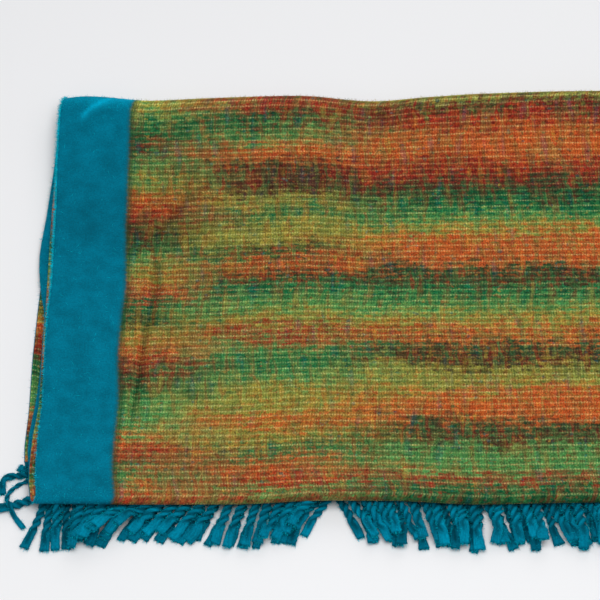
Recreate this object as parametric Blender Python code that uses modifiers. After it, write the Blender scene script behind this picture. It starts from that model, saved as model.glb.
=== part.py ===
"""A fringed wool blanket, folded in half twice and laid flat.

X runs along the folded front edge, Y from the front to the back, and Z is up. The cloth is one
sheet: its two fringed ends lie one over the other at the front, under the folded top layers.
All sizes are in metres.
"""

import bisect
import math
import random
from collections import namedtuple

import bmesh
import bpy
from mathutils import Vector

# The woven cloth, and the size it has when folded
CLOTH_WIDTH = 1.22
CLOTH_THICKNESS = 0.0035
FOLDED_DEPTH = 0.605
STRANDS_A_ROW = 58
STRANDS_A_STATION = 2
STATIONS = STRANDS_A_ROW // STRANDS_A_STATION

# The folds, measured to the middle of the cloth
FRONT_FOLD_REACH = 0.0045
FRONT_FOLD_STEPS = 5
INNER_FOLD_REACH = 0.0040
INNER_FOLD_STEPS = 4
OUTER_FOLD_REACH = 0.0120
OUTER_FOLD_STEPS = 6
INNER_FOLD_GAP = 0.0060
FOLD_CLEAR = 0.008
LOWER_RUN_START = 0.080
UPPER_RUN_END = 0.060
REAR_LIFT_LENGTH = 0.130

# The fringe: strips parted from both ends, and their strands
PARTING = 0.0004
STRIP_DEPTH = 0.006
STRAND_ROOT_WIDTH = 0.0065
STRAND_WIDTH = 0.0086
STRAND_END_WIDTH = 0.0104
STRAND_HEIGHT = 0.0060
STRAND_CROWN = 0.78
STRAND_LENGTH = 0.068
LENGTH_SPREAD = 0.004
LEAN_SPREAD = 1.2
TURN_SPREAD = 2.0
TURN_LENGTH = 0.014
TURN_GROWTH = 1.4
ROOT_LEAN_SHARE = 0.35
STRIDE = 0.002
GROWN_SHARE = 0.22
FLARE_SHARE = 0.45
LOWER_ROOT_PLACE = 0.25
UPPER_ROOT_PLACE = 0.75
UPPER_ROW_FLOOR = 0.0065
STRAND_STEPS = (0.09, GROWN_SHARE, FLARE_SHARE, 0.72, 1.0)

# Middle height of each layer above the surface, by distance behind the front fold
Layer = namedtuple("Layer", "behind level_1 level_2 level_3")
LAYERS = (
    Layer(0.000, 0.0088, 0.0150, 0.0226),
    Layer(0.030, 0.0088, 0.0146, 0.0216),
    Layer(0.070, 0.0085, 0.0138, 0.0208),
    Layer(0.130, 0.0075, 0.0125, 0.0196),
    Layer(0.200, 0.0067, 0.0114, 0.0178),
    Layer(0.290, 0.0062, 0.0107, 0.0156),
    Layer(0.390, 0.0062, 0.0107, 0.0152),
    Layer(0.480, 0.0064, 0.0111, 0.0164),
    Layer(0.540, 0.0069, 0.0124, 0.0198),
    Layer(0.605, 0.0073, 0.0133, 0.0248),
)

# How far each layer's left selvedge lies outside the nominal one
Selvedge = namedtuple("Selvedge", "behind level_0 level_1 level_2 level_3")
SELVEDGES = (
    Selvedge(0.000, 0.0120, 0.0060, 0.0010, -0.0010),
    Selvedge(0.040, 0.0130, 0.0090, 0.0070, 0.0018),
    Selvedge(0.090, 0.0150, 0.0120, 0.0065, 0.0014),
    Selvedge(0.145, 0.0130, 0.0070, 0.0030, -0.0008),
    Selvedge(0.205, 0.0125, 0.0040, 0.0035, 0.0003),
    Selvedge(0.265, 0.0105, 0.0030, 0.0030, 0.0004),
    Selvedge(0.315, 0.0085, 0.0045, 0.0030, -0.0018),
    Selvedge(0.365, 0.0080, 0.0110, 0.0030, -0.0015),
    Selvedge(0.430, 0.0055, 0.0070, 0.0025, -0.0012),
    Selvedge(0.520, 0.0020, 0.0030, 0.0005, 0.0006),
    Selvedge(0.605, 0.0000, -0.0010, -0.0010, 0.0000),
)

# The front fold: how far it bulges forward, along the width
FrontFold = namedtuple("FrontFold", "x forward")
FRONT_FOLD = (
    FrontFold(-0.610, 0.0006),
    FrontFold(-0.500, 0.0016),
    FrontFold(-0.386, 0.0014),
    FrontFold(-0.290, -0.0038),
    FrontFold(-0.215, -0.0034),
    FrontFold(-0.125, 0.0016),
    FrontFold(0.010, -0.0012),
    FrontFold(0.160, 0.0020),
    FrontFold(0.310, -0.0026),
    FrontFold(0.460, 0.0014),
    FrontFold(0.610, 0.0000),
)

# The rear fold: how far it lies back and how much higher it stands, along the width
RearFold = namedtuple("RearFold", "x back lift")
REAR_FOLD = (
    RearFold(-0.610, -0.0060, -0.0030),
    RearFold(-0.585, 0.0008, 0.0006),
    RearFold(-0.505, -0.0022, -0.0014),
    RearFold(-0.440, 0.0000, 0.0000),
    RearFold(-0.330, 0.0024, 0.0020),
    RearFold(-0.235, -0.0030, -0.0024),
    RearFold(-0.170, 0.0000, 0.0004),
    RearFold(-0.100, 0.0030, 0.0026),
    RearFold(0.045, 0.0060, 0.0052),
    RearFold(0.190, 0.0010, 0.0012),
    RearFold(0.330, -0.0028, -0.0020),
    RearFold(0.470, 0.0026, 0.0022),
    RearFold(0.610, -0.0040, -0.0020),
)

# Soft swells and troughs of the whole stack
Swell = namedtuple("Swell", "x behind wide deep height")
SWELLS = (
    Swell(-0.470, 0.260, 0.060, 0.170, -0.0012),
    Swell(-0.360, 0.330, 0.080, 0.120, 0.0012),
    Swell(-0.120, 0.180, 0.110, 0.090, 0.0014),
    Swell(-0.050, 0.420, 0.120, 0.080, -0.0010),
    Swell(0.200, 0.240, 0.100, 0.140, -0.0012),
    Swell(0.420, 0.360, 0.110, 0.110, 0.0014),
)

# Where the two ends stop behind the front fold, and which way their strands lean,
# in degrees from straight ahead, left being negative
EndLine = namedtuple("EndLine", "x lower upper lower_lean upper_lean")
END_LINES = (
    EndLine(-0.610, 0.0680, 0.0600, -84.0, -84.0),
    EndLine(-0.568, 0.0400, 0.0240, -8.0, -18.0),
    EndLine(-0.531, 0.0260, 0.0205, -7.0, -26.0),
    EndLine(-0.489, 0.0230, 0.0200, -17.0, -36.0),
    EndLine(-0.447, 0.0225, 0.0200, -28.0, -43.0),
    EndLine(-0.415, 0.0220, 0.0200, -34.0, -45.0),
    EndLine(-0.384, 0.0225, 0.0205, -28.0, -36.0),
    EndLine(-0.352, 0.0230, 0.0215, -14.0, -27.0),
    EndLine(-0.300, 0.0240, 0.0225, -17.0, -36.0),
    EndLine(-0.279, 0.0240, 0.0225, -24.0, -41.0),
    EndLine(-0.262, 0.0235, 0.0220, 28.0, 32.0),
    EndLine(-0.225, 0.0230, 0.0215, 18.0, 24.0),
    EndLine(-0.150, 0.0220, 0.0200, 12.0, 16.0),
    EndLine(-0.060, 0.0230, 0.0210, 16.0, 20.0),
    EndLine(0.050, 0.0235, 0.0215, 10.0, 14.0),
    EndLine(0.170, 0.0220, 0.0200, -4.0, 0.0),
    EndLine(0.290, 0.0230, 0.0210, -16.0, -20.0),
    EndLine(0.400, 0.0235, 0.0215, -4.0, -6.0),
    EndLine(0.500, 0.0220, 0.0200, 10.0, 14.0),
    EndLine(0.610, 0.0240, 0.0220, 22.0, 30.0),
)

# The strands that spill off the left corner, counted from the left, in degrees and metres
CornerStrand = namedtuple("CornerStrand", "row number lean turn length")
CORNER_STRANDS = (
    CornerStrand("lower", 0, -86.0, 70.0, 0.055),
    CornerStrand("lower", 1, -46.0, -42.0, 0.068),
    CornerStrand("upper", 0, -84.0, 120.0, 0.078),
)

SEED = 11

# Colours, as linear values
CLOTH_COLOUR = (0.230, 0.130, 0.035, 1.0)
TEAL_COLOUR = (0.004, 0.130, 0.190, 1.0)


def read(table, place, column):
    """A column of a table between its rows, on a smooth curve that never overshoots them."""
    places = [row[0] for row in table]
    values = [getattr(row, column) for row in table]
    place = min(max(place, places[0]), places[-1])
    last = len(places) - 1
    i = min(max(bisect.bisect_right(places, place) - 1, 0), last - 1)

    def slope(k):
        if k in (0, last):
            return 0.0
        before = (values[k] - values[k - 1]) / (places[k] - places[k - 1])
        after = (values[k + 1] - values[k]) / (places[k + 1] - places[k])
        if before * after <= 0.0:
            return 0.0
        return 2.0 * before * after / (before + after)

    step = places[i + 1] - places[i]
    t = (place - places[i]) / step
    rise = t * t * (3.0 - 2.0 * t)
    start = t * (1.0 - t) ** 2
    end = t * t * (t - 1.0)
    value = values[i] + (values[i + 1] - values[i]) * rise
    return value + step * (slope(i) * start + slope(i + 1) * end)


def ease(t):
    """Zero to one, level at both ends."""
    t = min(max(t, 0.0), 1.0)
    return t * t * (3.0 - 2.0 * t)


def swell_height(x, behind):
    """The soft rise or fall of the stack's top at one place."""
    height = 0.0
    for swell in SWELLS:
        across = (x - swell.x) / swell.wide
        along = (behind - swell.behind) / swell.deep
        height += swell.height * math.exp(-across * across - along * along)
    return height


def layer_height(x, behind, level):
    """The middle height of a layer, 0 for the lowest and 3 for the top one."""
    if level == 0:
        return CLOTH_THICKNESS / 2.0
    height = read(LAYERS, behind, f"level_{level}")
    rear = ease(1.0 - (FOLDED_DEPTH - behind) / REAR_LIFT_LENGTH)
    height += read(REAR_FOLD, x, "lift") * rear * (level / 3.0) ** 2
    return height + swell_height(x, behind) * level / 3.0


def overhang(behind, level):
    """How far a layer's left selvedge lies outside the nominal one."""
    return read(SELVEDGES, behind, f"level_{level}")


def fold_points(x, tip, reach, steps, before, after, outward):
    """Points round a fold, from one layer to the next; outward is 1 at the rear, -1 in front."""
    centre = tip - outward * reach
    start = layer_height(x, centre, before)
    rise = layer_height(x, centre, after) - start
    points = []
    for step in range(steps + 1):
        share = step / steps
        angle = math.pi * (share - 0.5)
        behind = centre + outward * reach * math.cos(angle)
        height = start + rise * (1.0 + math.sin(angle)) / 2.0
        shift = overhang(behind, before) * (1.0 - share) + overhang(behind, after) * share
        points.append((behind, height, shift))
    return points


def run_points(x, level, start, end, marks):
    """Points along a layer, from one fold or end to the next, clear of both."""
    low = min(start, end) + FOLD_CLEAR
    high = max(start, end) - FOLD_CLEAR
    places = [mark for mark in marks if low < mark < high]
    if start > end:
        places.reverse()
    return [(place, layer_height(x, place, level), overhang(place, level)) for place in places]


def section(x):
    """The cloth's middle line at one place along the width, from its lower end to its upper one.

    Each point is (behind, height, overhang).
    """
    marks = [row.behind for row in LAYERS[1:-1]]
    flat_marks = marks[2::2]
    half = CLOTH_THICKNESS / 2.0
    front_tip = half
    rear_tip = FOLDED_DEPTH - half
    inner_tip = rear_tip - CLOTH_THICKNESS - INNER_FOLD_GAP
    front_start = front_tip + FRONT_FOLD_REACH
    rear_start = rear_tip - OUTER_FOLD_REACH
    inner_start = inner_tip - INNER_FOLD_REACH
    lower_end = read(END_LINES, x, "lower")
    upper_end = read(END_LINES, x, "upper")

    path = [(lower_end, layer_height(x, lower_end, 0), overhang(lower_end, 0))]
    path += run_points(x, 0, LOWER_RUN_START, rear_start, flat_marks)
    path += fold_points(x, rear_tip, OUTER_FOLD_REACH, OUTER_FOLD_STEPS, 0, 3, 1)
    path += run_points(x, 3, rear_start, front_start, marks)
    path += fold_points(x, front_tip, FRONT_FOLD_REACH, FRONT_FOLD_STEPS, 3, 2, -1)
    path += run_points(x, 2, front_start, inner_start, marks)
    path += fold_points(x, inner_tip, INNER_FOLD_REACH, INNER_FOLD_STEPS, 2, 1, 1)
    path += run_points(x, 1, inner_start, UPPER_RUN_END, marks)
    path.append((upper_end, layer_height(x, upper_end, 1), overhang(upper_end, 1)))
    return path


def depth_place(x, behind):
    """The Y of a place, from how far it lies behind the front fold."""
    front = -FOLDED_DEPTH / 2.0 - read(FRONT_FOLD, x, "forward")
    rear = FOLDED_DEPTH / 2.0 + read(REAR_FOLD, x, "back")
    return front + (rear - front) * behind / FOLDED_DEPTH


def station_points(station):
    """The section's points in space at one station, counted from the left selvedge."""
    x = CLOTH_WIDTH * (station / STATIONS - 0.5)
    return [Vector((x - over, depth_place(x, b), z)) for b, z, over in section(x)]


def material(name, colour):
    """A plain matt wool finish."""
    made = bpy.data.materials.new(name)
    made.use_nodes = True
    shader = made.node_tree.nodes["Principled BSDF"]
    shader.inputs["Base Color"].default_value = colour
    shader.inputs["Roughness"].default_value = 0.95
    shader.inputs["Metallic"].default_value = 0.0
    made.diffuse_color = colour
    return made


def add_object(name, mesh_data, finish, collection):
    """A named object in the blanket's collection."""
    made = bpy.data.objects.new(name, mesh_data)
    made.data.materials.append(finish)
    collection.objects.link(made)
    return made


def make_cloth(finish, collection):
    """The folded cloth: one sheet through all its layers, given its thickness."""
    columns = [station_points(station) for station in range(STATIONS + 1)]
    rows = len(columns[0])
    sheet = bmesh.new()
    bmesh.ops.create_grid(sheet, x_segments=STATIONS, y_segments=rows - 1, size=0.5)
    for vert in sheet.verts:
        station = round((vert.co.x + 0.5) * STATIONS)
        row = round((vert.co.y + 0.5) * (rows - 1))
        vert.co = columns[station][row]
    mesh_data = bpy.data.meshes.new("blanket_cloth")
    sheet.to_mesh(mesh_data)
    sheet.free()
    cloth = add_object("blanket_cloth", mesh_data, finish, collection)
    thicken = cloth.modifiers.new("thickness", "SOLIDIFY")
    thicken.thickness = CLOTH_THICKNESS
    thicken.offset = 0.0
    thicken.use_even_offset = True
    return cloth


def end_point(ends, share):
    """A point on a cloth's end, at a share of its width from the left selvedge."""
    place = share * STATIONS
    i = min(int(place), STATIONS - 1)
    return ends[i].lerp(ends[i + 1], place - i)


def strand_frames(root, lean, turn, length):
    """Places (point, sideways) along a strand, which turns into its lean past its root."""
    root_lean = lean * ROOT_LEAN_SHARE
    point = root.copy()
    frames = []
    walked = 0.0
    for share in STRAND_STEPS:
        while walked < share * length:
            stride = min(STRIDE, share * length - walked + 1e-9)
            bend = turn * (walked / length) ** TURN_GROWTH
            into_lean = ease(walked / TURN_LENGTH)
            heading = math.radians(root_lean + (lean - root_lean) * into_lean + bend)
            point = point + Vector((math.sin(heading), -math.cos(heading), 0.0)) * stride
            walked += stride
        sideways = Vector((math.cos(heading), math.sin(heading), 0.0))
        frames.append((point.copy(), sideways))
    return frames


def strand_size(share):
    """Width and height of a strand's section at a share of its length."""
    grown = ease(share / GROWN_SHARE)
    flared = ease((share - FLARE_SHARE) / (1.0 - FLARE_SHARE))
    width = STRAND_ROOT_WIDTH + (STRAND_WIDTH - STRAND_ROOT_WIDTH) * grown
    width += (STRAND_END_WIDTH - STRAND_WIDTH) * flared
    height = CLOTH_THICKNESS + (STRAND_HEIGHT - CLOTH_THICKNESS) * grown
    return width, height


def grow_strand(shape, root_face, lean, turn, length, floor):
    """Draw one strand out of a face of its strip, section by section."""
    root = root_face.calc_center_median()
    foot = min(vert.co.z for vert in root_face.verts)
    places = [(vert.co.x > root.x, vert.co.z > root.z) for vert in root_face.verts]
    face = root_face
    frames = strand_frames(root, lean, turn, length)
    for share, (point, sideways) in zip(STRAND_STEPS, frames):
        width, height = strand_size(share)
        base = foot + (floor - foot) * ease(share / GROWN_SHARE)
        face = bmesh.ops.extrude_discrete_faces(shape, faces=[face])["faces"][0]
        for vert, (right, top) in zip(face.verts, places):
            out = width / 2.0 * (STRAND_CROWN if top else 1.0) * (1.0 if right else -1.0)
            vert.co = point + sideways * out
            vert.co.z = base + (height if top else 0.0)


def make_fringe(name, row, finish, collection):
    """One fringe: a strip parted from the cloth's end, with its strands fused to it."""
    which = 0 if row == "lower" else -1
    ends = [station_points(station)[which] for station in range(STATIONS + 1)]
    cells = 3 * STRANDS_A_ROW
    pitch = 1.0 / STRANDS_A_ROW
    root_share = STRAND_ROOT_WIDTH / CLOTH_WIDTH
    floor = 0.0 if row == "lower" else UPPER_ROW_FLOOR
    root_place = LOWER_ROOT_PLACE if row == "lower" else UPPER_ROOT_PLACE
    draw = random.Random(SEED + which)

    shape = bmesh.new()
    bmesh.ops.create_cube(shape, size=1.0)
    upright = [e for e in shape.edges if abs(e.verts[0].co.x - e.verts[1].co.x) > 0.5]
    bmesh.ops.subdivide_edges(shape, edges=upright, cuts=cells - 1, use_grid_fill=True)
    for vert in shape.verts:
        mark = round((vert.co.x + 0.5) * cells)
        strand, side = divmod(mark, 3)
        share = strand * pitch
        if side > 0:
            share += root_place * pitch + (side - 1.5) * root_share
        point = end_point(ends, share)
        back = PARTING if vert.co.y > 0.0 else PARTING + STRIP_DEPTH
        top = CLOTH_THICKNESS / 2.0 * (1.0 if vert.co.z > 0.0 else -1.0)
        vert.co = point + Vector((0.0, -back, top))

    shape.normal_update()
    fronts = [face for face in shape.faces if face.normal.y < -0.3 and len(face.verts) == 4]
    fronts.sort(key=lambda face: face.calc_center_median().x)
    for number, face in enumerate(fronts[1::3]):
        x = CLOTH_WIDTH * ((number + root_place) * pitch - 0.5)
        lean = read(END_LINES, x, f"{row}_lean") + draw.uniform(-LEAN_SPREAD, LEAN_SPREAD)
        turn = draw.uniform(-TURN_SPREAD, TURN_SPREAD)
        length = STRAND_LENGTH + draw.uniform(-LENGTH_SPREAD, LENGTH_SPREAD)
        for corner in CORNER_STRANDS:
            if (corner.row, corner.number) == (row, number):
                lean = corner.lean
                turn = corner.turn
                length = corner.length
        grow_strand(shape, face, lean, turn, length, floor)

    bmesh.ops.recalc_face_normals(shape, faces=shape.faces)
    mesh_data = bpy.data.meshes.new(name)
    shape.to_mesh(mesh_data)
    shape.free()
    return add_object(name, mesh_data, finish, collection)


def centre_on_origin(pieces):
    """Move all pieces so that the origin is at the middle of their footprint."""
    corners = [vert.co for piece in pieces for vert in piece.data.vertices]
    middle_x = (min(c.x for c in corners) + max(c.x for c in corners)) / 2.0
    middle_y = (min(c.y for c in corners) + max(c.y for c in corners)) / 2.0
    for piece in pieces:
        piece.location = (-middle_x, -middle_y, 0.0)


def main():
    for obj in list(bpy.data.objects):
        bpy.data.objects.remove(obj, do_unlink=True)
    collection = bpy.data.collections.new("wool_blanket")
    bpy.context.scene.collection.children.link(collection)
    woven = material("woven_wool", CLOTH_COLOUR)
    teal = material("teal_wool", TEAL_COLOUR)
    pieces = [
        make_cloth(woven, collection),
        make_fringe("fringe_lower", "lower", teal, collection),
        make_fringe("fringe_upper", "upper", teal, collection),
    ]
    centre_on_origin(pieces)


main()
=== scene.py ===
"""A fringed wool blanket, folded in half twice: its woven cloth, fringes and loose fibres.

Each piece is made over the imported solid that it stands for. X runs along the folded front edge,
Y from the front to the back, and Z is up. All sizes are in metres.
"""

import functools
import math
from collections import namedtuple

import bpy
import numpy as np
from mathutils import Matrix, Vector


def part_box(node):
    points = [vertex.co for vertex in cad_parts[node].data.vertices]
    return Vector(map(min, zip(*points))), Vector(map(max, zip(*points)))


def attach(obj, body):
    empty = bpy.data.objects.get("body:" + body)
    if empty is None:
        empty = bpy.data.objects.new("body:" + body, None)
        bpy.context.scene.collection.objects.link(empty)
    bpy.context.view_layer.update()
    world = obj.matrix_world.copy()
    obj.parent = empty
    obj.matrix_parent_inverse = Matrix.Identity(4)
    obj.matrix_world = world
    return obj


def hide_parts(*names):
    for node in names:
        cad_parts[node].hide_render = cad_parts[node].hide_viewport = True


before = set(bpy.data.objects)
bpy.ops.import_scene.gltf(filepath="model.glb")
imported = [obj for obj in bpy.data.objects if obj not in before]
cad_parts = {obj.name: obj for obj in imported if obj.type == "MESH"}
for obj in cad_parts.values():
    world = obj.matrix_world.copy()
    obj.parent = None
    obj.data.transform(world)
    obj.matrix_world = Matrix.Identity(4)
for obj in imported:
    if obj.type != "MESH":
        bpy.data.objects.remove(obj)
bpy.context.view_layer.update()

bl_info = {
    "name": "Folded wool blanket",
    "version": (1, 0, 0),
    "blender": (4, 5, 0),
    "location": "3D View > Sidebar > Blanket",
    "description": "Makes a folded, fringed wool blanket with a space-dyed weave",
    "category": "Add Mesh",
}


def named_rows(columns, *rows):
    """A table whose columns have names."""
    kind = namedtuple("Row", columns)
    return tuple(kind(*row) for row in rows)


# The folds, measured to the middle of the cloth
FRONT_FOLD_REACH = 0.0045
INNER_FOLD_REACH = 0.0040
OUTER_FOLD_REACH = 0.0120
INNER_FOLD_GAP = 0.0060
REAR_LIFT_LENGTH = 0.130

# How finely each stretch of the cloth is divided, from its lower end to its upper one
LOWER_RUN_STEPS = 24
OUTER_FOLD_STEPS = 18
ROW_STEPS = 4
FRONT_FOLD_STEPS = 10
INNER_FOLD_STEPS = 9
INNER_RUN_STEPS = 26

# The columns across the cloth: how far from the left selvedge each stretch ends, and its steps
COLUMN_STRETCHES = named_rows(
    "end steps",
    (0.0016, 1), (0.0045, 1), (0.0100, 1), (0.1850, 50), (0.6100, 30),
    (1.2100, 34), (1.2155, 1), (1.2184, 1), (1.2200, 1),
)

# Middle height of each layer above the surface, by distance behind the front fold
LAYERS = named_rows(
    "behind level_1 level_2 level_3",
    (0.000, 0.0088, 0.0150, 0.0226),
    (0.030, 0.0088, 0.0146, 0.0216),
    (0.070, 0.0085, 0.0138, 0.0208),
    (0.130, 0.0075, 0.0125, 0.0196),
    (0.200, 0.0067, 0.0114, 0.0178),
    (0.290, 0.0062, 0.0107, 0.0156),
    (0.390, 0.0062, 0.0107, 0.0152),
    (0.480, 0.0064, 0.0111, 0.0164),
    (0.540, 0.0069, 0.0124, 0.0198),
    (0.605, 0.0073, 0.0133, 0.0248),
)

# How far each layer's left selvedge lies outside the nominal one
SELVEDGES = named_rows(
    "behind level_0 level_1 level_2 level_3",
    (0.000, 0.0120, 0.0060, 0.0055, -0.0010),
    (0.040, 0.0140, 0.0095, 0.0098, 0.0018),
    (0.090, 0.0172, 0.0125, 0.0085, 0.0014),
    (0.145, 0.0152, 0.0075, 0.0036, -0.0008),
    (0.205, 0.0150, 0.0045, 0.0038, 0.0003),
    (0.265, 0.0132, 0.0035, 0.0032, 0.0004),
    (0.315, 0.0112, 0.0104, 0.0032, -0.0018),
    (0.365, 0.0085, 0.0138, 0.0034, -0.0015),
    (0.430, 0.0050, 0.0085, 0.0030, -0.0012),
    (0.520, 0.0010, 0.0030, 0.0005, 0.0006),
    (0.576, 0.0002, 0.0005, -0.0005, 0.0000),
    (0.592, -0.0016, -0.0010, -0.0010, -0.0026),
    (0.605, -0.0080, -0.0030, -0.0030, -0.0080),
)

# The front fold: how far it bulges forward, along the width
FRONT_FOLD = named_rows(
    "x forward",
    (-0.610, 0.0006),
    (-0.500, 0.0016),
    (-0.386, 0.0014),
    (-0.290, -0.0038),
    (-0.215, -0.0034),
    (-0.125, 0.0016),
    (0.010, -0.0012),
    (0.160, 0.0020),
    (0.310, -0.0026),
    (0.460, 0.0014),
    (0.610, 0.0000),
)

# The rear fold: how far it lies back and how much higher it stands, along the width
REAR_FOLD = named_rows(
    "x back lift",
    (-0.610, 0.0008, 0.0010),
    (-0.586, 0.0024, 0.0020),
    (-0.505, -0.0022, -0.0014),
    (-0.440, 0.0002, 0.0002),
    (-0.330, 0.0028, 0.0026),
    (-0.235, -0.0030, -0.0020),
    (-0.170, 0.0012, 0.0018),
    (-0.100, 0.0044, 0.0052),
    (0.045, 0.0060, 0.0088),
    (0.190, 0.0010, 0.0032),
    (0.330, -0.0028, -0.0010),
    (0.470, 0.0026, 0.0022),
    (0.610, -0.0040, -0.0020),
)

# Soft swells and troughs of the whole stack
SWELLS = named_rows(
    "x behind wide deep height",
    (-0.470, 0.260, 0.060, 0.170, -0.0012),
    (-0.360, 0.330, 0.080, 0.120, 0.0012),
    (-0.120, 0.180, 0.110, 0.090, 0.0014),
    (-0.050, 0.420, 0.120, 0.080, -0.0010),
    (0.200, 0.240, 0.100, 0.140, -0.0012),
    (0.420, 0.360, 0.110, 0.110, 0.0014),
)

# Soft creases in the top layer: from one place to another, bowed sideways, wide and deep,
# and how much painted shade they put on the nap, a negative value being a painted highlight
CREASES = named_rows(
    "x behind to_x to_behind bow wide deep shade",
    (-0.5100, 0.600, -0.5860, 0.561, -0.0170, 0.0046, 0.0012, -1.00),
    (-0.4965, 0.266, -0.5110, 0.112, 0.0010, 0.0046, 0.0028, 0.54),
    (-0.4920, 0.365, -0.4925, 0.248, 0.0010, 0.0060, 0.0014, 0.46),
    (-0.4520, 0.455, -0.4990, 0.380, 0.0020, 0.0062, 0.0018, 0.30),
    (-0.4700, 0.240, -0.4420, 0.170, 0.0020, 0.0070, 0.0010, 0.14),
    (-0.6400, 0.385, -0.4300, 0.400, 0.0000, 0.0600, 0.0000, 0.16),
    (-0.2500, 0.602, -0.2050, 0.520, 0.0060, 0.0220, 0.0020, 0.14),
    (-0.1800, 0.500, -0.0400, 0.455, 0.0080, 0.0200, 0.0014, 0.12),
    (0.2500, 0.600, 0.3000, 0.480, -0.0080, 0.0240, 0.0020, 0.12),
    (0.1400, 0.350, 0.1900, 0.200, 0.0060, 0.0220, 0.0014, 0.12),
    (0.5200, 0.300, 0.5000, 0.090, -0.0040, 0.0200, 0.0016, 0.14),
)

# Where the two ends stop behind the front fold, along the width
END_LINES = named_rows(
    "x lower upper",
    (-0.610, 0.0680, 0.0600),
    (-0.568, 0.0300, 0.0220),
    (-0.531, 0.0235, 0.0205),
    (-0.489, 0.0230, 0.0200),
    (-0.415, 0.0220, 0.0200),
    (-0.352, 0.0230, 0.0215),
    (-0.290, 0.0240, 0.0225),
    (-0.225, 0.0230, 0.0215),
    (-0.150, 0.0220, 0.0200),
    (0.050, 0.0235, 0.0215),
    (0.170, 0.0220, 0.0200),
    (0.400, 0.0235, 0.0215),
    (0.500, 0.0220, 0.0200),
    (0.610, 0.0240, 0.0220),
)

# The two fringes: their layer in the stack, where their first and last roots lie along the front,
# how much their colour is scaled, a painted shade on the lower one and a painted highlight on the
# upper one, and the seeds of their strands and of their yarn
Fringe = namedtuple("Fringe", "layer first_x last_x light strand_seed yarn_seed")
FRINGES = {
    "lower": Fringe(0, -0.5660, 0.603, 0.78, 5, 7),
    "upper": Fringe(1, -0.5515, 0.609, 1.10, 6, 8),
}

# Which way the strands lie, in degrees from straight ahead, left being negative,
# and how far they turn back towards their ends
LEANS = named_rows(
    "x lower upper turn",
    (-0.600, -10.0, -12.0, 0.0),
    (-0.572, -3.0, -5.0, 0.0),
    (-0.552, -6.0, -9.0, 0.0),
    (-0.532, -12.0, -18.0, 0.0),
    (-0.512, -20.0, -32.0, 2.0),
    (-0.490, -30.0, -46.0, 4.0),
    (-0.465, -37.0, -50.0, 6.0),
    (-0.440, -37.0, -43.0, 4.0),
    (-0.412, -31.0, -33.0, 0.0),
    (-0.380, -23.0, -22.0, 0.0),
    (-0.345, -14.0, -13.0, 0.0),
    (-0.322, -14.0, -18.0, 2.0),
    (-0.302, -22.0, -32.0, 8.0),
    (-0.272, -36.0, -46.0, 16.0),
    (-0.269, 26.0, 30.0, -4.0),
    (-0.250, 21.0, 24.0, -2.0),
    (-0.225, 14.0, 16.0, 0.0),
    (-0.198, 8.0, 9.0, 0.0),
    (-0.170, 6.0, 8.0, 0.0),
    (-0.115, 10.0, 11.0, 0.0),
    (-0.060, 9.0, 12.0, 0.0),
    (-0.020, 14.0, 18.0, 0.0),
    (0.060, 9.0, 12.0, 0.0),
    (0.170, -4.0, 0.0, 0.0),
    (0.290, -16.0, -20.0, 4.0),
    (0.400, -4.0, -6.0, 0.0),
    (0.500, 10.0, 14.0, 0.0),
    (0.610, 22.0, 30.0, -4.0),
)

# The strands at the left corner, each drawn as places on the surface
CornerStrand = namedtuple("CornerStrand", "size end path")
CORNER_STRANDS = {
    "lower": (
        CornerStrand(0.86, 0.80, ((-0.6100, -0.2535), (-0.6262, -0.2542), (-0.6405, -0.2555),
                                  (-0.6481, -0.2597), (-0.6500, -0.2693), (-0.6496, -0.2790))),
        CornerStrand(0.62, 0.75, ((-0.6085, -0.2575), (-0.6150, -0.2530), (-0.6225, -0.2480),
                                  (-0.6320, -0.2428))),
        CornerStrand(1.10, 0.95, ((-0.5960, -0.2790), (-0.6124, -0.2857), (-0.6263, -0.2925),
                                  (-0.6393, -0.2965), (-0.6502, -0.2993), (-0.6654, -0.3020))),
        CornerStrand(0.95, 0.90, ((-0.5947, -0.2840), (-0.5958, -0.3087), (-0.5980, -0.3316),
                                  (-0.5990, -0.3556))),
        CornerStrand(0.90, 0.90, ((-0.5770, -0.2840), (-0.5765, -0.3087), (-0.5761, -0.3316),
                                  (-0.5751, -0.3530))),
    ),
    "upper": (
        CornerStrand(0.55, 0.50, ((-0.6070, -0.2590), (-0.6200, -0.2615), (-0.6320, -0.2670),
                                  (-0.6415, -0.2775), (-0.6428, -0.2910), (-0.6343, -0.3087),
                                  (-0.6235, -0.3249))),
        CornerStrand(0.92, 0.95, ((-0.5995, -0.2820), (-0.6048, -0.3047), (-0.6114, -0.3262),
                                  (-0.6210, -0.3516))),
        CornerStrand(0.88, 0.80, ((-0.5880, -0.2840), (-0.5872, -0.3087), (-0.5868, -0.3316),
                                  (-0.5872, -0.3543))),
    ),
}

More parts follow.
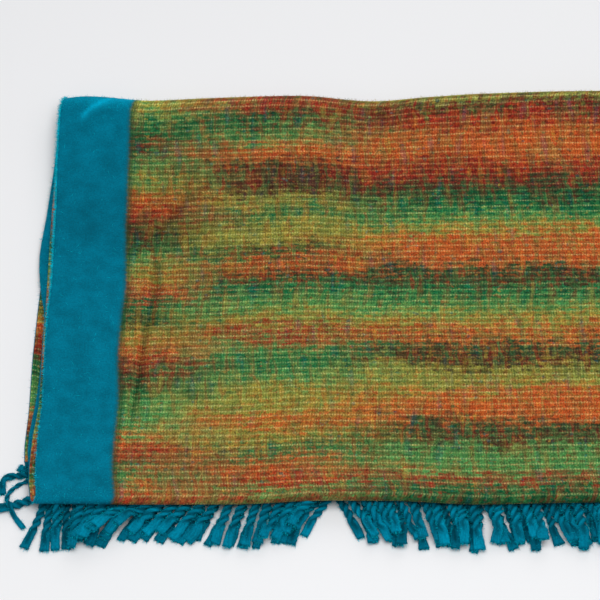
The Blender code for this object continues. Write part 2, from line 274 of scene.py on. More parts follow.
# The dye runs that cross the folded top, by distance behind the front fold
DYE_RUNS_LEFT = (
    (0.000, "red"), (0.016, "orange"), (0.030, "leaf"), (0.046, "green"), (0.062, "red"),
    (0.080, "orange"), (0.100, "leaf"), (0.131, "leaf"), (0.152, "green"), (0.174, "maroon"),
    (0.198, "red"), (0.217, "orange"), (0.239, "olive"), (0.262, "deep_green"), (0.280, "green"),
    (0.294, "red"), (0.308, "orange"), (0.330, "olive"), (0.352, "leaf"), (0.374, "deep_green"),
    (0.399, "maroon"), (0.420, "red"), (0.446, "orange"), (0.468, "olive"), (0.494, "leaf"),
    (0.517, "deep_green"), (0.528, "maroon"), (0.533, "red"), (0.541, "deep_green"),
    (0.560, "green"), (0.576, "leaf"), (0.594, "olive"),
)
DYE_RUNS_MIDDLE = (
    (0.000, "red"), (0.014, "leaf"), (0.026, "red"), (0.046, "orange"), (0.066, "green"),
    (0.088, "olive"), (0.108, "orange"), (0.131, "olive"), (0.152, "olive"), (0.172, "leaf"),
    (0.195, "green"), (0.217, "leaf"), (0.239, "red"), (0.259, "olive"), (0.284, "leaf"),
    (0.306, "green"), (0.329, "maroon"), (0.343, "orange"), (0.357, "deep_green"),
    (0.376, "olive"), (0.399, "olive"), (0.420, "green"), (0.438, "olive"), (0.456, "maroon"),
    (0.490, "maroon"), (0.513, "orange"), (0.538, "leaf"), (0.563, "deep_green"), (0.585, "red"),
    (0.605, "maroon"),
)
DYE_RUNS_RIGHT = (
    (0.000, "deep_green"), (0.012, "green"), (0.026, "red"), (0.044, "leaf"), (0.062, "leaf"),
    (0.084, "maroon"), (0.100, "deep_green"), (0.119, "orange"), (0.144, "orange"),
    (0.162, "olive"), (0.180, "olive"), (0.198, "maroon"), (0.217, "deep_green"),
    (0.236, "orange"), (0.256, "olive"), (0.280, "leaf"), (0.302, "green"), (0.316, "maroon"),
    (0.330, "deep_green"), (0.350, "orange"), (0.380, "orange"), (0.398, "olive"), (0.414, "leaf"),
    (0.430, "green"), (0.450, "deep_green"), (0.466, "maroon"), (0.492, "red"), (0.512, "orange"),
    (0.540, "orange"), (0.562, "red"), (0.584, "maroon"), (0.605, "olive"),
)

# The dyes that a warp yarn runs through
WARP_RUNS = (
    (0.00, "warp_teal"), (0.28, "green"), (0.50, "leaf"), (0.72, "red"), (1.00, "warp_yellow"),
)

# What each pattern of wool puts out
SURFACE = [("Colour", "NodeSocketColor"), ("Height", "NodeSocketFloat"),
           ("Dryness", "NodeSocketFloat")]

# Small unevenness of the top layer: how far it moves the cloth, and how wide each swing is
Wave = namedtuple("Wave", "far cell")
TOP_BUMPS = Wave(0.0004, 0.045)
ROW_WAVES = (Wave(0.0007, 0.110), Wave(0.0003, 0.030))
TOP_FADE = 0.030

# The painted highlight on the nap along the rear fold: how much it lightens the colour,
# and its middle and its width in steps
REAR_PAINTED_HIGHLIGHT = 0.45
REAR_HIGHLIGHT_MIDDLE = -3.0
REAR_HIGHLIGHT_WIDTH = 9.0

# The raised rows of the weave: their profile, the fade of their ends and how uneven they are
ROW_PROFILE = (1.0, 0.15, 0.42, 0.15)
ROW_FADE_STEPS = 8.0
ROW_UNEVENNESS = 0.45
BAND_EDGE = 0.004
BAND_SWELL = 0.0003

# The strips of the bake's square: the start and the height of the back, of the cloth before the
# top and of the cloth after it, then the height of the top's halves and the start of each
BAKE_BACK = (0.004, 0.112)
BAKE_BEFORE = (0.122, 0.10)
BAKE_AFTER = (0.150, 0.11)
BAKE_TOP_HEIGHT = 0.376
BAKE_TOP_LEFT = 0.622
BAKE_TOP_RIGHT = 0.240
BAKE_MARGIN = 0.002

# The cloth's rim: how thin it gets, over what width, and how far it bulges out
RIM_THINNESS = 0.55
RIM_WIDTH = 0.0045
RIM_BULGE = 0.0009
RIM_RAGGEDNESS = 0.0005

# A fringe's woven heading: its gap to the cloth's end, and how deep it is
STRIP_GAP = 0.0004
STRIP_DEPTH = 0.0060

# The stretch of floor that the strands may lie on
PILE_LOW = (-0.72, -0.42)
PILE_HIGH = (0.72, -0.20)

# Steps along a strand and round it, and its size where it leaves the cloth
STRAND_RINGS = 42
STRAND_SIDES = 18
ROOT_WIDTH = 0.0065
ROOT_HEIGHT = 0.0035

# How far strands and fibres stay above the floor
FLOOR_GAP = 0.00015
FIBRE_FLOOR_GAP = 0.00020

# How far left a root may lie, from where the strands lie loose, and how loose they are before that
FIRST_ROOT_X = -0.598
LOOSE_FROM_X = -0.250
HELD_SHARE = 0.40

# How much the strands differ: spreads of their lean and turn, and the least and most of the rest
LEAN_SPREAD = 6.5
TURN_SPREAD = 8.0
LENGTH_CHANGES = (-0.007, 0.006)
SWAYS = (2.0, 8.0)
STRAND_SIZES = (0.86, 1.10)
TIP_SIZES = (0.72, 1.12)
OPENINGS = (0.72, 0.88)

# The two plies of a strand, as shares of its half width, and where their twist ends
PLY_RADIUS = 0.62
PLY_APART = 0.38
TWIST_END = 0.70

# Shares of a strand's length: its growth from the root, the flare of its tip, and how much sooner
# it flares over one stretch of the front
ROOT_SHARE = 0.20
FLARE_SHARE = 0.20
EARLY_FLARE = 0.14
EARLY_STRETCH = (-0.56, -0.36)

# How a strand leaves its root and sways: lengths over which it turns, swings and starts to swing
TURN_LENGTH = 0.014
SWAY_LENGTH = 0.030
SWAY_START = 0.020

# How a strand settles: its soft core, its squash, the fall from its root and its smoothing
CORE_SHARE = 0.42
SQUASH = 0.92
FALL_LENGTH = 0.020
SMOOTH_PASSES = 6

# The studio: how far its floor reaches, and where its lights hang from the point that is looked at
FLOOR_REACH = 6.0
AIM_HEIGHT = 0.022
KEY_LIGHT_PLACE = (0.15, -0.8, 2.4)
KEY_LIGHT_SIZE = 2.0
REAR_LIGHT_PLACE = (0.7, 2.1, 1.5)
REAR_LIGHT_SIZE = 1.5

# The teal band: how soft its inner edge is, and the painted shade along the cloth beside it
BAND_SOFTNESS = 0.0022
BAND_SHADE_OFFSET = 0.0015
BAND_SHADE_REACH = 0.0075
BAND_SHADE_SHARE = 0.62

# How much lighter loose fibres are painted than the cloth under them, a painted glow of light
# through them, how near a selvedge they stand, and where they are rooted, as a share of the way
# from the middle of the cloth to its surface
FIBRE_PAINTED_GLOW = 2.2
SELVEDGE_REACH = 0.0014
FIBRE_ROOT_SHARE = 0.9

# How far apart strands lie in the yarn's pattern, and how far that reaches round each
YARN_STEP = 0.31
YARN_ROUND = 0.022

# Loose fibres on each strand: along it and at its tip
FIBRES_A_STRAND = 86
FIBRES_A_TIP = 20

# Cells on each side of the grid that soft noise repeats over
NOISE_CELLS = 97

SEED = 23


def screen(red, green, blue):
    """A colour as seen on a screen, from 0 to 255, as the linear values that a shader takes."""
    shares = [value / 255.0 for value in (red, green, blue)]
    linear = [s / 12.92 if s <= 0.04045 else ((s + 0.055) / 1.055) ** 2.4 for s in shares]
    return (*linear, 1.0)


def colour_property(name, description, red, green, blue):
    """A colour that a user can change."""
    return bpy.props.FloatVectorProperty(
        name=name, description=description, subtype="COLOR", size=4, min=0.0, max=1.0,
        default=screen(red, green, blue),
    )


def number_property(name, description, default, **kind):
    """A number that a user can change."""
    return bpy.props.FloatProperty(name=name, description=description, default=default, **kind)


def length_property(name, description, default):
    """A length that a user can change."""
    return number_property(name, description, default, min=0.0, subtype="DISTANCE",
                           unit="LENGTH", precision=4)


def count_property(name, description, default, least):
    """A count that a user can change."""
    return bpy.props.IntProperty(name=name, description=description, default=default, min=least)


class BlanketSizes(bpy.types.PropertyGroup):
    """Sizes of the blanket, flat and folded"""

    cloth_width: length_property("Cloth width", "From selvedge to selvedge", 1.22)
    cloth_length: length_property("Cloth length", "From end to end, laid flat", 2.43)
    cloth_thickness: length_property("Cloth thickness", "Of the brushed cloth", 0.0035)
    folded_depth: length_property("Folded depth", "From the front fold to the rear fold", 0.605)
    band_width: length_property("Band width", "Of the plain band along each selvedge", 0.084)
    row_count: count_property("Rows", "Raised rows of the weave on the folded top", 69, 8)
    yarn_pitch: length_property("Yarn pitch", "From one warp yarn to the next", 0.0031)
    row_relief: length_property("Row relief", "How far a raised row stands up", 0.00045)
    strands_a_row: count_property("Strands", "Fringe strands on each end", 88, 16)
    strand_length: length_property("Strand length", "From the cloth's end to the tip", 0.070)
    strand_width: length_property("Strand width", "Of its twisted part", 0.0106)
    strand_height: length_property("Strand height", "Of its twisted part", 0.0072)
    strand_end_width: length_property("Strand end width", "Of its flat cut end", 0.0122)
    strand_end_height: length_property("Strand end height", "Of its flat cut end", 0.0042)
    twist_length: length_property("Twist length", "From one lobe of the twist to the next", 0.0105)
    fibre_length: length_property("Fibre length", "Of the loose fibres", 0.0060)
    fibre_width: length_property("Fibre width", "Of the loose fibres", 0.00034)


class BlanketColours(bpy.types.PropertyGroup):
    """Colours of the yarns"""

    teal: colour_property("Teal", "Bands and fringes", 0, 112, 138)
    # A lighter teal for loose fibres, a painted glow of light through them
    teal_fibre_glow: colour_property("Teal tips", "Loose teal fibres", 0, 142, 158)
    # The pale of the raised rows, partly their yarn and partly a painted highlight on them
    pale: colour_property("Pale", "Raised rows", 206, 198, 130)
    # A painted shade for the gaps between the yarns
    shade: colour_property("Shade", "Between the yarns", 40, 32, 18)
    maroon: colour_property("Maroon", "Dye run", 80, 40, 32)
    deep_green: colour_property("Deep green", "Dye run", 34, 66, 42)
    green: colour_property("Green", "Dye run", 14, 104, 60)
    leaf: colour_property("Leaf green", "Dye run", 82, 142, 74)
    olive: colour_property("Olive yellow", "Dye run", 152, 142, 58)
    orange: colour_property("Orange", "Dye run", 196, 88, 38)
    red: colour_property("Red", "Dye run", 158, 40, 32)
    warp_teal: colour_property("Warp teal", "Scattered in the warp", 6, 96, 106)
    warp_yellow: colour_property("Warp yellow", "Scattered in the warp", 184, 156, 60)


class StudioSettings(bpy.types.PropertyGroup):
    """The floor, the lights and the camera"""

    floor_colour: colour_property("Floor", "Plain pale floor", 249, 249, 250)
    key_power: number_property(
        "Key light", "Power of the large soft light", 38.5, min=0.0, unit="POWER")
    rear_power: number_property(
        "Rear light", "Power of the soft light behind", 11.0, min=0.0, unit="POWER")
    fill_strength: number_property(
        "Fill", "Strength of the even light from all round", 0.41, min=0.0)
    elevation: number_property(
        "Elevation", "Camera's angle above the floor", math.radians(50.5), subtype="ANGLE",
        unit="ROTATION")
    view_angle: number_property(
        "View angle", "Camera's field of view", math.radians(10.47), subtype="ANGLE",
        unit="ROTATION")
    distance: length_property("Distance", "From the camera to the middle of the view", 3.77)
    aim_x: number_property(
        "Aim X", "Where the camera looks, along the front", -0.320, unit="LENGTH")
    aim_y: number_property(
        "Aim Y", "Where the camera looks, front to back", -0.0174, unit="LENGTH")


def read(table, places, column):
    """A column of a table between its rows, on a smooth curve that never overshoots them."""
    knots = np.array([row[0] for row in table])
    values = np.array([getattr(row, column) for row in table])
    places = np.clip(np.asarray(places, float), knots[0], knots[-1])
    rises = np.diff(values) / np.diff(knots)
    slopes = np.zeros(len(knots))
    both = rises[:-1] * rises[1:]
    inner = both > 0.0
    slopes[1:-1][inner] = 2.0 * both[inner] / (rises[:-1] + rises[1:])[inner]
    i = np.clip(np.searchsorted(knots, places, side="right") - 1, 0, len(knots) - 2)
    step = knots[i + 1] - knots[i]
    t = (places - knots[i]) / step
    rise = t * t * (3.0 - 2.0 * t)
    start = t * (1.0 - t) ** 2
    end = t * t * (t - 1.0)
    value = values[i] + (values[i + 1] - values[i]) * rise
    return value + step * (slopes[i] * start + slopes[i + 1] * end)


def ease(t):
    """Zero to one, level at both ends."""
    t = np.clip(t, 0.0, 1.0)
    return t * t * (3.0 - 2.0 * t)


def soft_noise(x, y, cell, seed):
    """Smooth random values from -1 to 1 over a plane, about one swing for each cell."""
    grid = np.random.default_rng(seed).uniform(-1.0, 1.0, (NOISE_CELLS, NOISE_CELLS))
    across = np.asarray(x, float) / cell + 31.0
    along = np.asarray(y, float) / cell + 47.0
    i = np.floor(across).astype(int)
    j = np.floor(along).astype(int)
    s = ease(across - i)
    t = ease(along - j)
    i, i_next = i % NOISE_CELLS, (i + 1) % NOISE_CELLS
    j, j_next = j % NOISE_CELLS, (j + 1) % NOISE_CELLS
    near = grid[i, j] * (1.0 - s) + grid[i_next, j] * s
    far = grid[i, j_next] * (1.0 - s) + grid[i_next, j_next] * s
    return near * (1.0 - t) + far * t


def swell_height(x, behind):
    """The soft rise or fall of the stack's top at one place."""
    height = 0.0
    for swell in SWELLS:
        across = (x - swell.x) / swell.wide
        along = (behind - swell.behind) / swell.deep
        height = height + swell.height * np.exp(-across * across - along * along)
    return height


def layer_height(x, behind, level, sizes):
    """The middle height of a layer, 0 for the lowest and 3 for the top one."""
    if level == 0:
        return np.full(np.broadcast(x, behind).shape, sizes.cloth_thickness / 2.0)
    height = read(LAYERS, behind, f"level_{level}")
    rear = ease(1.0 - (sizes.folded_depth - behind) / REAR_LIFT_LENGTH)
    height = height + read(REAR_FOLD, x, "lift") * rear * (level / 3.0) ** 2
    return height + swell_height(x, behind) * level / 3.0


def overhang(behind, level):
    """How far a layer's left selvedge lies outside the nominal one."""
    return read(SELVEDGES, behind, f"level_{level}")


def depth_place(x, behind, sizes):
    """The Y of a place, from how far it lies behind the front fold."""
    half = sizes.folded_depth / 2.0
    front = -half - read(FRONT_FOLD, x, "forward")
    rear = half + read(REAR_FOLD, x, "back")
    return front + (rear - front) * behind / sizes.folded_depth


def crease_relief(x, behind):
    """How far the creases move the top layer, and how much painted shade they put on it."""
    height = np.zeros(np.broadcast(x, behind).shape)
    shade = np.zeros(height.shape)
    for crease in CREASES:
        start = np.array((crease.x, crease.behind))
        run = np.array((crease.to_x, crease.to_behind)) - start
        length = math.hypot(*run)
        along = ((x - start[0]) * run[0] + (behind - start[1]) * run[1]) / length ** 2
        aside = ((behind - start[1]) * run[0] - (x - start[0]) * run[1]) / length
        inside = np.clip(along, 0.0, 1.0)
        aside = (aside - crease.bow * 4.0 * inside * (1.0 - inside)) / crease.wide
        fade = ease(along / 0.25 + 0.3) * ease((1.0 - along) / 0.25 + 0.3)
        ridge = np.exp(-(aside + 1.4) ** 2)
        height += crease.deep * fade * (0.6 * ridge - np.exp(-aside * aside))
        # The shade is painted into the colour: darker along each trough, lighter where it is
        # negative
        shade += crease.shade * fade * ease(aside / 1.2 + 0.8) * np.exp(
            -(np.maximum(aside, 0.0) / 1.5) ** 2)
    return height, shade


Middle = namedtuple("Middle", "points normals across along top_start top_end side fold_shade")


def shift_to_frame(sizes):
    """From the sizes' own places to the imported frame."""
    low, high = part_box("blanket_cloth")
    x = np.linspace(-0.5, 0.5, 30) * sizes.cloth_width
    rear = depth_place(x, sizes.folded_depth, sizes).max()
    corner = float(overhang(float(read(END_LINES, -sizes.cloth_width / 2.0, "lower")), 0))
    return Vector((low.x + sizes.cloth_width / 2.0 + corner, high.y - rear, 0.0))


def column_places():
    """Places across the cloth, closer together where the creases lie."""
    places = [np.zeros(1)]
    for stretch in COLUMN_STRETCHES:
        start = places[-1][-1]
        places.append(np.linspace(start, stretch.end, stretch.steps + 1)[1:])
    return np.concatenate(places)


def flat_run(x, level, start, end, steps, sizes):
    """Rows of one layer, from a place behind the front fold to another."""
    rows = []
    for step in range(steps + 1):
        behind = start + (end - start) * step / steps + 0.0 * x
        rows.append((behind, layer_height(x, behind, level, sizes), overhang(behind, level)))
    return rows


def round_fold(x, tip, reach, steps, layers, outward, sizes):
    """Rows round a fold from one layer to another; outward is 1 at the rear and -1 in front."""
    before, after = layers
    centre = tip - outward * reach + 0.0 * x
    start = layer_height(x, centre, before, sizes)
    rise = layer_height(x, centre, after, sizes) - start
    rows = []
    for step in range(1, steps):
        share = step / steps
        angle = math.pi * (share - 0.5)
        behind = centre + outward * reach * math.cos(angle)
        shift = overhang(behind, before) * (1.0 - share) + overhang(behind, after) * share
        rows.append((behind, start + rise * (1.0 + math.sin(angle)) / 2.0, shift))
    return rows


def crease_top(x, behind, height, top, flat):
    """Press the creases and small waves into the top layer; returns the painted shade of each
    place.
    """
    lead = OUTER_FOLD_STEPS // 2
    shown = slice(top.start - lead, top.stop)
    shade = np.zeros(behind.shape)
    relief, shade[shown] = crease_relief(x[shown], behind[shown])
    # A painted highlight along the rear fold
    from_rear = np.arange(len(behind)) - top.start - REAR_HIGHLIGHT_MIDDLE
    shade -= REAR_PAINTED_HIGHLIGHT * ease(1.2 - np.abs(from_rear) / REAR_HIGHLIGHT_WIDTH)[:, None]
    taper = ease((behind[top] - flat[0]) / TOP_FADE) * ease((flat[1] - behind[top]) / TOP_FADE)
    height[top] += relief[lead:] * ease(taper + 0.35)
    bumps = soft_noise(x[top], behind[top], TOP_BUMPS.cell, SEED)
    height[top] += TOP_BUMPS.far * bumps * taper
    waves = [wave.far * soft_noise(x[top], behind[top], wave.cell, SEED + 1 + number)
             for number, wave in enumerate(ROW_WAVES)]
    behind[top] += sum(waves) * taper
    return shade


def lengths_along(points, top_start, top_end, pitch):
    """How far along the cloth each row lies; on the top the rows are an even pitch apart."""
    steps = np.linalg.norm(np.diff(points, axis=0), axis=2).mean(1)
    along = np.concatenate([[0.0], np.cumsum(steps)])
    after = along[top_end:] - along[top_end] + pitch * (top_end - top_start)
    before = along[:top_start] - along[top_start]
    return np.concatenate([before, pitch * np.arange(top_end - top_start), after])


@functools.lru_cache(maxsize=1)
def cloth_middle():
    """The middle surface of the folded cloth, as rows of points from its lower end to its upper."""
    sizes = bpy.context.scene.blanket_sizes
    width = sizes.cloth_width
    across = column_places() / COLUMN_STRETCHES[-1].end * width
    x = across - width / 2.0
    front_tip = sizes.cloth_thickness / 2.0
    rear_tip = sizes.folded_depth - front_tip
    inner_tip = rear_tip - sizes.cloth_thickness - INNER_FOLD_GAP
    front_start = front_tip + FRONT_FOLD_REACH
    rear_start = rear_tip - OUTER_FOLD_REACH
    inner_start = inner_tip - INNER_FOLD_REACH
    top_steps = sizes.row_count * ROW_STEPS

    rows = flat_run(x, 0, read(END_LINES, x, "lower"), rear_start, LOWER_RUN_STEPS, sizes)
    rows += round_fold(x, rear_tip, OUTER_FOLD_REACH, OUTER_FOLD_STEPS, (0, 3), 1, sizes)
    top_start = len(rows)
    rows += flat_run(x, 3, rear_start, front_start, top_steps, sizes)
    top_end = len(rows) - 1
    rows += round_fold(x, front_tip, FRONT_FOLD_REACH, FRONT_FOLD_STEPS, (3, 2), -1, sizes)
    rows += flat_run(x, 2, front_start, inner_start, INNER_RUN_STEPS, sizes)
    rows += round_fold(x, inner_tip, INNER_FOLD_REACH, INNER_FOLD_STEPS, (2, 1), 1, sizes)
    rows += flat_run(x, 1, inner_start, read(END_LINES, x, "upper"), INNER_RUN_STEPS, sizes)

    behind, height, over = (np.array([row[k] for row in rows]) for k in range(3))
    x_grid = np.broadcast_to(x, behind.shape)
    fold_shade = crease_top(x_grid, behind, height, slice(top_start, top_end + 1),
                            (front_start, rear_start))
    points = np.stack([x_grid - over, depth_place(x_grid, behind, sizes), height], axis=2)
    along = lengths_along(points, top_start, top_end, (rear_start - front_start) / top_steps)
    side = np.gradient(points, axis=1)
    normals = np.cross(np.gradient(points, axis=0), side)
    normals /= np.linalg.norm(normals, axis=2, keepdims=True)
    rise = row_rise(across, along, top_start, top_end, sizes)
    points = points + normals * rise[:, :, None] + np.array(shift_to_frame(sizes))
    return Middle(points, normals, across, along, top_start, top_end, side, fold_shade)


def row_rise(across, along, top_start, top_end, sizes):
    """How far the raised rows of the weave stand up; the bands are felted smooth."""
    steps = np.arange(len(along)) - top_start
    near = ease((steps + OUTER_FOLD_STEPS) / ROW_FADE_STEPS)
    near = near * ease((top_end - top_start + 2.0 * ROW_FADE_STEPS - steps) / ROW_FADE_STEPS)
    rise = np.array(ROW_PROFILE)[steps % ROW_STEPS] * near
    inside = np.minimum(across, sizes.cloth_width - across) - sizes.band_width
    body = ease(inside / BAND_EDGE + 0.5)
    uneven = soft_noise(across[None, :], along[:, None] * 3.0, 0.024, SEED + 3)
    uneven = 1.0 + ROW_UNEVENNESS * uneven
    band = BAND_SWELL * near[:, None] * (1.0 - body[None, :])
    return sizes.row_relief * rise[:, None] * body[None, :] * uneven + band


def shell_faces(rows, columns, rim):
    """Corner numbers of a closed sheet: its two sides, then the edge all round by way of rim."""
    count = rows * columns
    face = np.arange(count).reshape(rows, columns)
    back = face + count
    quads = [
        np.stack([face[:-1, :-1], face[1:, :-1], face[1:, 1:], face[:-1, 1:]], axis=-1),
        np.stack([back[:-1, 1:], back[1:, 1:], back[1:, :-1], back[:-1, :-1]], axis=-1),
    ]
    outline = np.concatenate([face[:-1, 0], face[-1, :-1], face[:0:-1, -1], face[0, :0:-1]])
    loop = np.roll(outline, -1)
    rim_loop = np.roll(rim, -1)
    quads.append(np.stack([outline, rim, rim_loop, loop], axis=-1))
    quads.append(np.stack([rim, outline + count, loop + count, rim_loop], axis=-1))
    return [part.reshape(-1, 4) for part in quads], outline


def add_values(data, name, values):
    """A value for each point of a mesh, for its material to read."""
    layer = data.attributes.new(name, "FLOAT", "POINT")
    layer.data.foreach_set("value", values.astype(np.float32))


def face_corners(data):
    """The point at each face corner of a mesh."""
    numbers = np.empty(len(data.loops), np.int32)
    data.loops.foreach_get("vertex_index", numbers)
    return numbers


def new_mesh(name, points, faces, smooth=True):
    """A mesh object from arrays of points and of faces' corners."""
    data = bpy.data.meshes.new(name)
    data.from_pydata(points.tolist(), [], faces)
    data.validate()
    data.polygons.foreach_set("use_smooth", np.full(len(data.polygons), smooth))
    data.update()
    made = bpy.data.objects.new(name, data)
    bpy.context.scene.collection.objects.link(made)
    return made


def set_uv(data, name, places):
    """A UV map from one place for each face corner."""
    layer = data.uv_layers.new(name=name)
    layer.uv.foreach_set("vector", np.asarray(places, np.float32).ravel())


def edge_outward(middle, rows, columns, outline):
    """At each point of the sheet's outline, the direction away from the cloth, in its plane."""
    k, i = np.divmod(outline, columns)
    side = middle.side[k, i] / np.linalg.norm(middle.side[k, i], axis=1, keepdims=True)
    down = np.cross(side, middle.normals[k, i])
    edges = ((i == 0, -side), (i == columns - 1, side), (k == 0, -down), (k == rows - 1, down))
    out = sum(np.where(here[:, None], away, 0.0) for here, away in edges)
    return out / np.linalg.norm(out, axis=1, keepdims=True)


def make_cloth(sizes):
    """The folded cloth, as one closed thin sheet with its place in the weave as a UV map."""
    middle = cloth_middle()
    rows, columns = middle.points.shape[:2]
    count = rows * columns
    inside = np.minimum(middle.across, sizes.cloth_width - middle.across)
    full = RIM_THINNESS + (1.0 - RIM_THINNESS) * ease(inside / RIM_WIDTH)
    offset = middle.normals * (sizes.cloth_thickness / 2.0 * full)[None, :, None]
    rim = 2 * count + np.arange(2 * (rows + columns) - 4)
    parts, outline = shell_faces(rows, columns, rim)
    ragged = soft_noise(np.arange(len(outline)), 0.0, 2.7, SEED + 4)
    bulge = edge_outward(middle, rows, columns, outline) * (
        RIM_BULGE + RIM_RAGGEDNESS * ragged)[:, None]
    points = np.concatenate([(middle.points + offset).reshape(-1, 3),
                             (middle.points - offset).reshape(-1, 3),
                             middle.points.reshape(-1, 3)[outline] + bulge])
    faces = np.concatenate(parts)
    made = new_mesh("wool_cloth", points, faces.tolist())
    sides = np.zeros(len(faces), np.int32)
    sides[len(parts[0]):len(parts[0]) + len(parts[1])] = 1
    made.data.polygons.foreach_set("material_index", sides)

    k, i = np.divmod(np.concatenate([np.arange(count), np.arange(count), outline]), columns)
    place = np.stack([middle.across[i], middle.along[k]], axis=1)
    set_uv(made.data, "Weave", place[faces])
    set_uv(made.data, "OFBake", bake_places(middle, parts, place, faces, sizes))
    # The painted shade and highlight of the creases and the rear fold, for the material to read
    painted_shade = middle.fold_shade.ravel()
    add_values(made.data, "fold_shade", np.concatenate([painted_shade, 0.0 * painted_shade, painted_shade[outline]]))
    return made


def bake_places(middle, parts, place, faces, sizes):
    """A place in the square for each face corner: the folded top's halves get most of the room."""
    start = middle.along[middle.top_start]
    end = middle.along[middle.top_end]
    length = middle.along[-1] - middle.along[0]
    half = sizes.cloth_width / 2.0
    corners = place[faces]
    across = corners[:, :, 0]
    along = corners[:, :, 1]
    face_along = along.mean(1, keepdims=True)
    on_right = across.mean(1, keepdims=True) > half
    on_top = (face_along > start) & (face_along < end)
    number = np.arange(len(faces))[:, None]
    is_back = (number >= len(parts[0])) & (number < len(parts[0]) + len(parts[1]))
    whole = (along - middle.along[0]) / length
    top_v = np.where(on_right, BAKE_TOP_RIGHT, BAKE_TOP_LEFT)
    top_v = top_v + BAKE_TOP_HEIGHT * (along - start) / (end - start)
    rest_v = np.where(face_along < start, BAKE_BEFORE[0] + BAKE_BEFORE[1] * whole,
                      BAKE_AFTER[0] + BAKE_AFTER[1] * (along - end) / length)
    back_v = BAKE_BACK[0] + BAKE_BACK[1] * whole
    v = np.where(is_back, back_v, np.where(on_top, top_v, rest_v))
    u = np.where(on_top & ~is_back, (across - on_right * half) / half, across / sizes.cloth_width)
    return np.stack([BAKE_MARGIN + (1.0 - 2.0 * BAKE_MARGIN) * u, v], axis=2)


class Pile:
    """Heights of what already lies in front of the fold, on a fine grid."""

    CELL = 0.0012
    REST_SHARE = 0.80

    def __init__(self, low, high):
        """A bare surface between two corners."""
        self.low = low
        shape = [int(math.ceil((b - a) / self.CELL)) + 1 for a, b in zip(low, high)]
        self.top = np.zeros(shape)

    def footprint(self, x, y, reach):
        """Grid places within reach of a point, and how far each is from it."""
        span = int(reach / self.CELL) + 1
        ring = np.arange(-span, span + 1)
        i = int(round((x - self.low[0]) / self.CELL)) + ring
        j = int(round((y - self.low[1]) / self.CELL)) + ring
        i = np.clip(i, 0, self.top.shape[0] - 1)[:, None]
        j = np.clip(j, 0, self.top.shape[1] - 1)[None, :]
        away = np.hypot(ring[:, None] * self.CELL, ring[None, :] * self.CELL) / reach
        return i, j, away

    def under(self, x, y, reach):
        """How high a soft strand with a round footprint comes to rest."""
        i, j, away = self.footprint(x, y, reach)
        return float(np.quantile(self.top[i, j][away <= 1.0], self.REST_SHARE))

    def lay(self, x, y, reach, base, height):
        """Set a rounded lump of that height down on its base."""
        i, j, away = self.footprint(x, y, reach)
        lump = base + height * np.sqrt(np.clip(1.0 - away ** 2, 0.0, 1.0))
        self.top[i, j] = np.where(away < 1.0, np.maximum(self.top[i, j], lump), self.top[i, j])


Strand = namedtuple("Strand", "points headings walked width height twist tone lobes")


def settle(points, walked, root_height, width, height, pile):
    """Base heights of a strand that drops from its root onto whatever lies under it."""
    support = np.array([pile.under(x, y, CORE_SHARE * w) for (x, y), w in zip(points, width)])
    near_root = 1.0 - ease(walked / FALL_LENGTH)
    base = np.maximum(support, (root_height - height / 2.0) * near_root)
    for _ in range(SMOOTH_PASSES):
        padded = np.concatenate([base[:1], base, base[-1:]])
        smooth = (padded[:-2] + padded[1:-1] * 2.0 + padded[2:]) / 4.0
        base = np.maximum(smooth, support * (1.0 - near_root))
    for (x, y), w, h, b in zip(points, width, height, base):
        pile.lay(x, y, 0.5 * w, b, SQUASH * h)
    return base


def corner_points(path, length_steps):
    """A smooth line through a strand's listed points, cut into even steps."""
    path = np.array(path)
    padded = np.concatenate([2 * path[:1] - path[1:2], path, 2 * path[-1:] - path[-2:-1]])
    fine = []
    for a, b, c, d in zip(padded, padded[1:], padded[2:], padded[3:]):
        for t in np.linspace(0.0, 1.0, 12, endpoint=False):
            fine.append(0.5 * (2 * b + (c - a) * t + (2 * a - 5 * b + 4 * c - d) * t ** 2
                               + (3 * b - a - 3 * c + d) * t ** 3))
    fine.append(path[-1])
    fine = np.array(fine)
    walked = np.concatenate([[0.0], np.cumsum(np.linalg.norm(np.diff(fine, axis=0), axis=1))])
    even = np.linspace(0.0, walked[-1], length_steps)
    points = np.stack([np.interp(even, walked, fine[:, k]) for k in range(2)], axis=1)
    steps = np.gradient(points, axis=0)
    return points, np.arctan2(steps[:, 0], -steps[:, 1]), even


def leaning_line(root, lean, turn, length, sway, phase):
    """The points, headings and lengths walked of a strand that leans, turns and sways."""
    share = np.linspace(0.0, 1.0, STRAND_RINGS)
    walked = share * length
    headings = lean * (0.35 + 0.65 * ease(walked / TURN_LENGTH)) + turn * share ** 1.4
    swings = np.sin(walked / SWAY_LENGTH * math.tau + phase)
    headings += sway * swings * ease(walked / SWAY_START)
    headings = np.radians(headings)
    step = length / (STRAND_RINGS - 1)
    moves = np.stack([np.sin(headings), -np.cos(headings)], axis=1) * step
    points = root + np.concatenate([[[0.0, 0.0]], np.cumsum(moves[1:], axis=0)])
    return points, headings, walked


def root_to_tip(at_root, twisted, at_tip, grown, flared):
    """A strand's width or height, from its root through its twist to its flat tip."""
    return (at_root + (twisted - at_root) * grown) * (1.0 - flared) + at_tip * flared


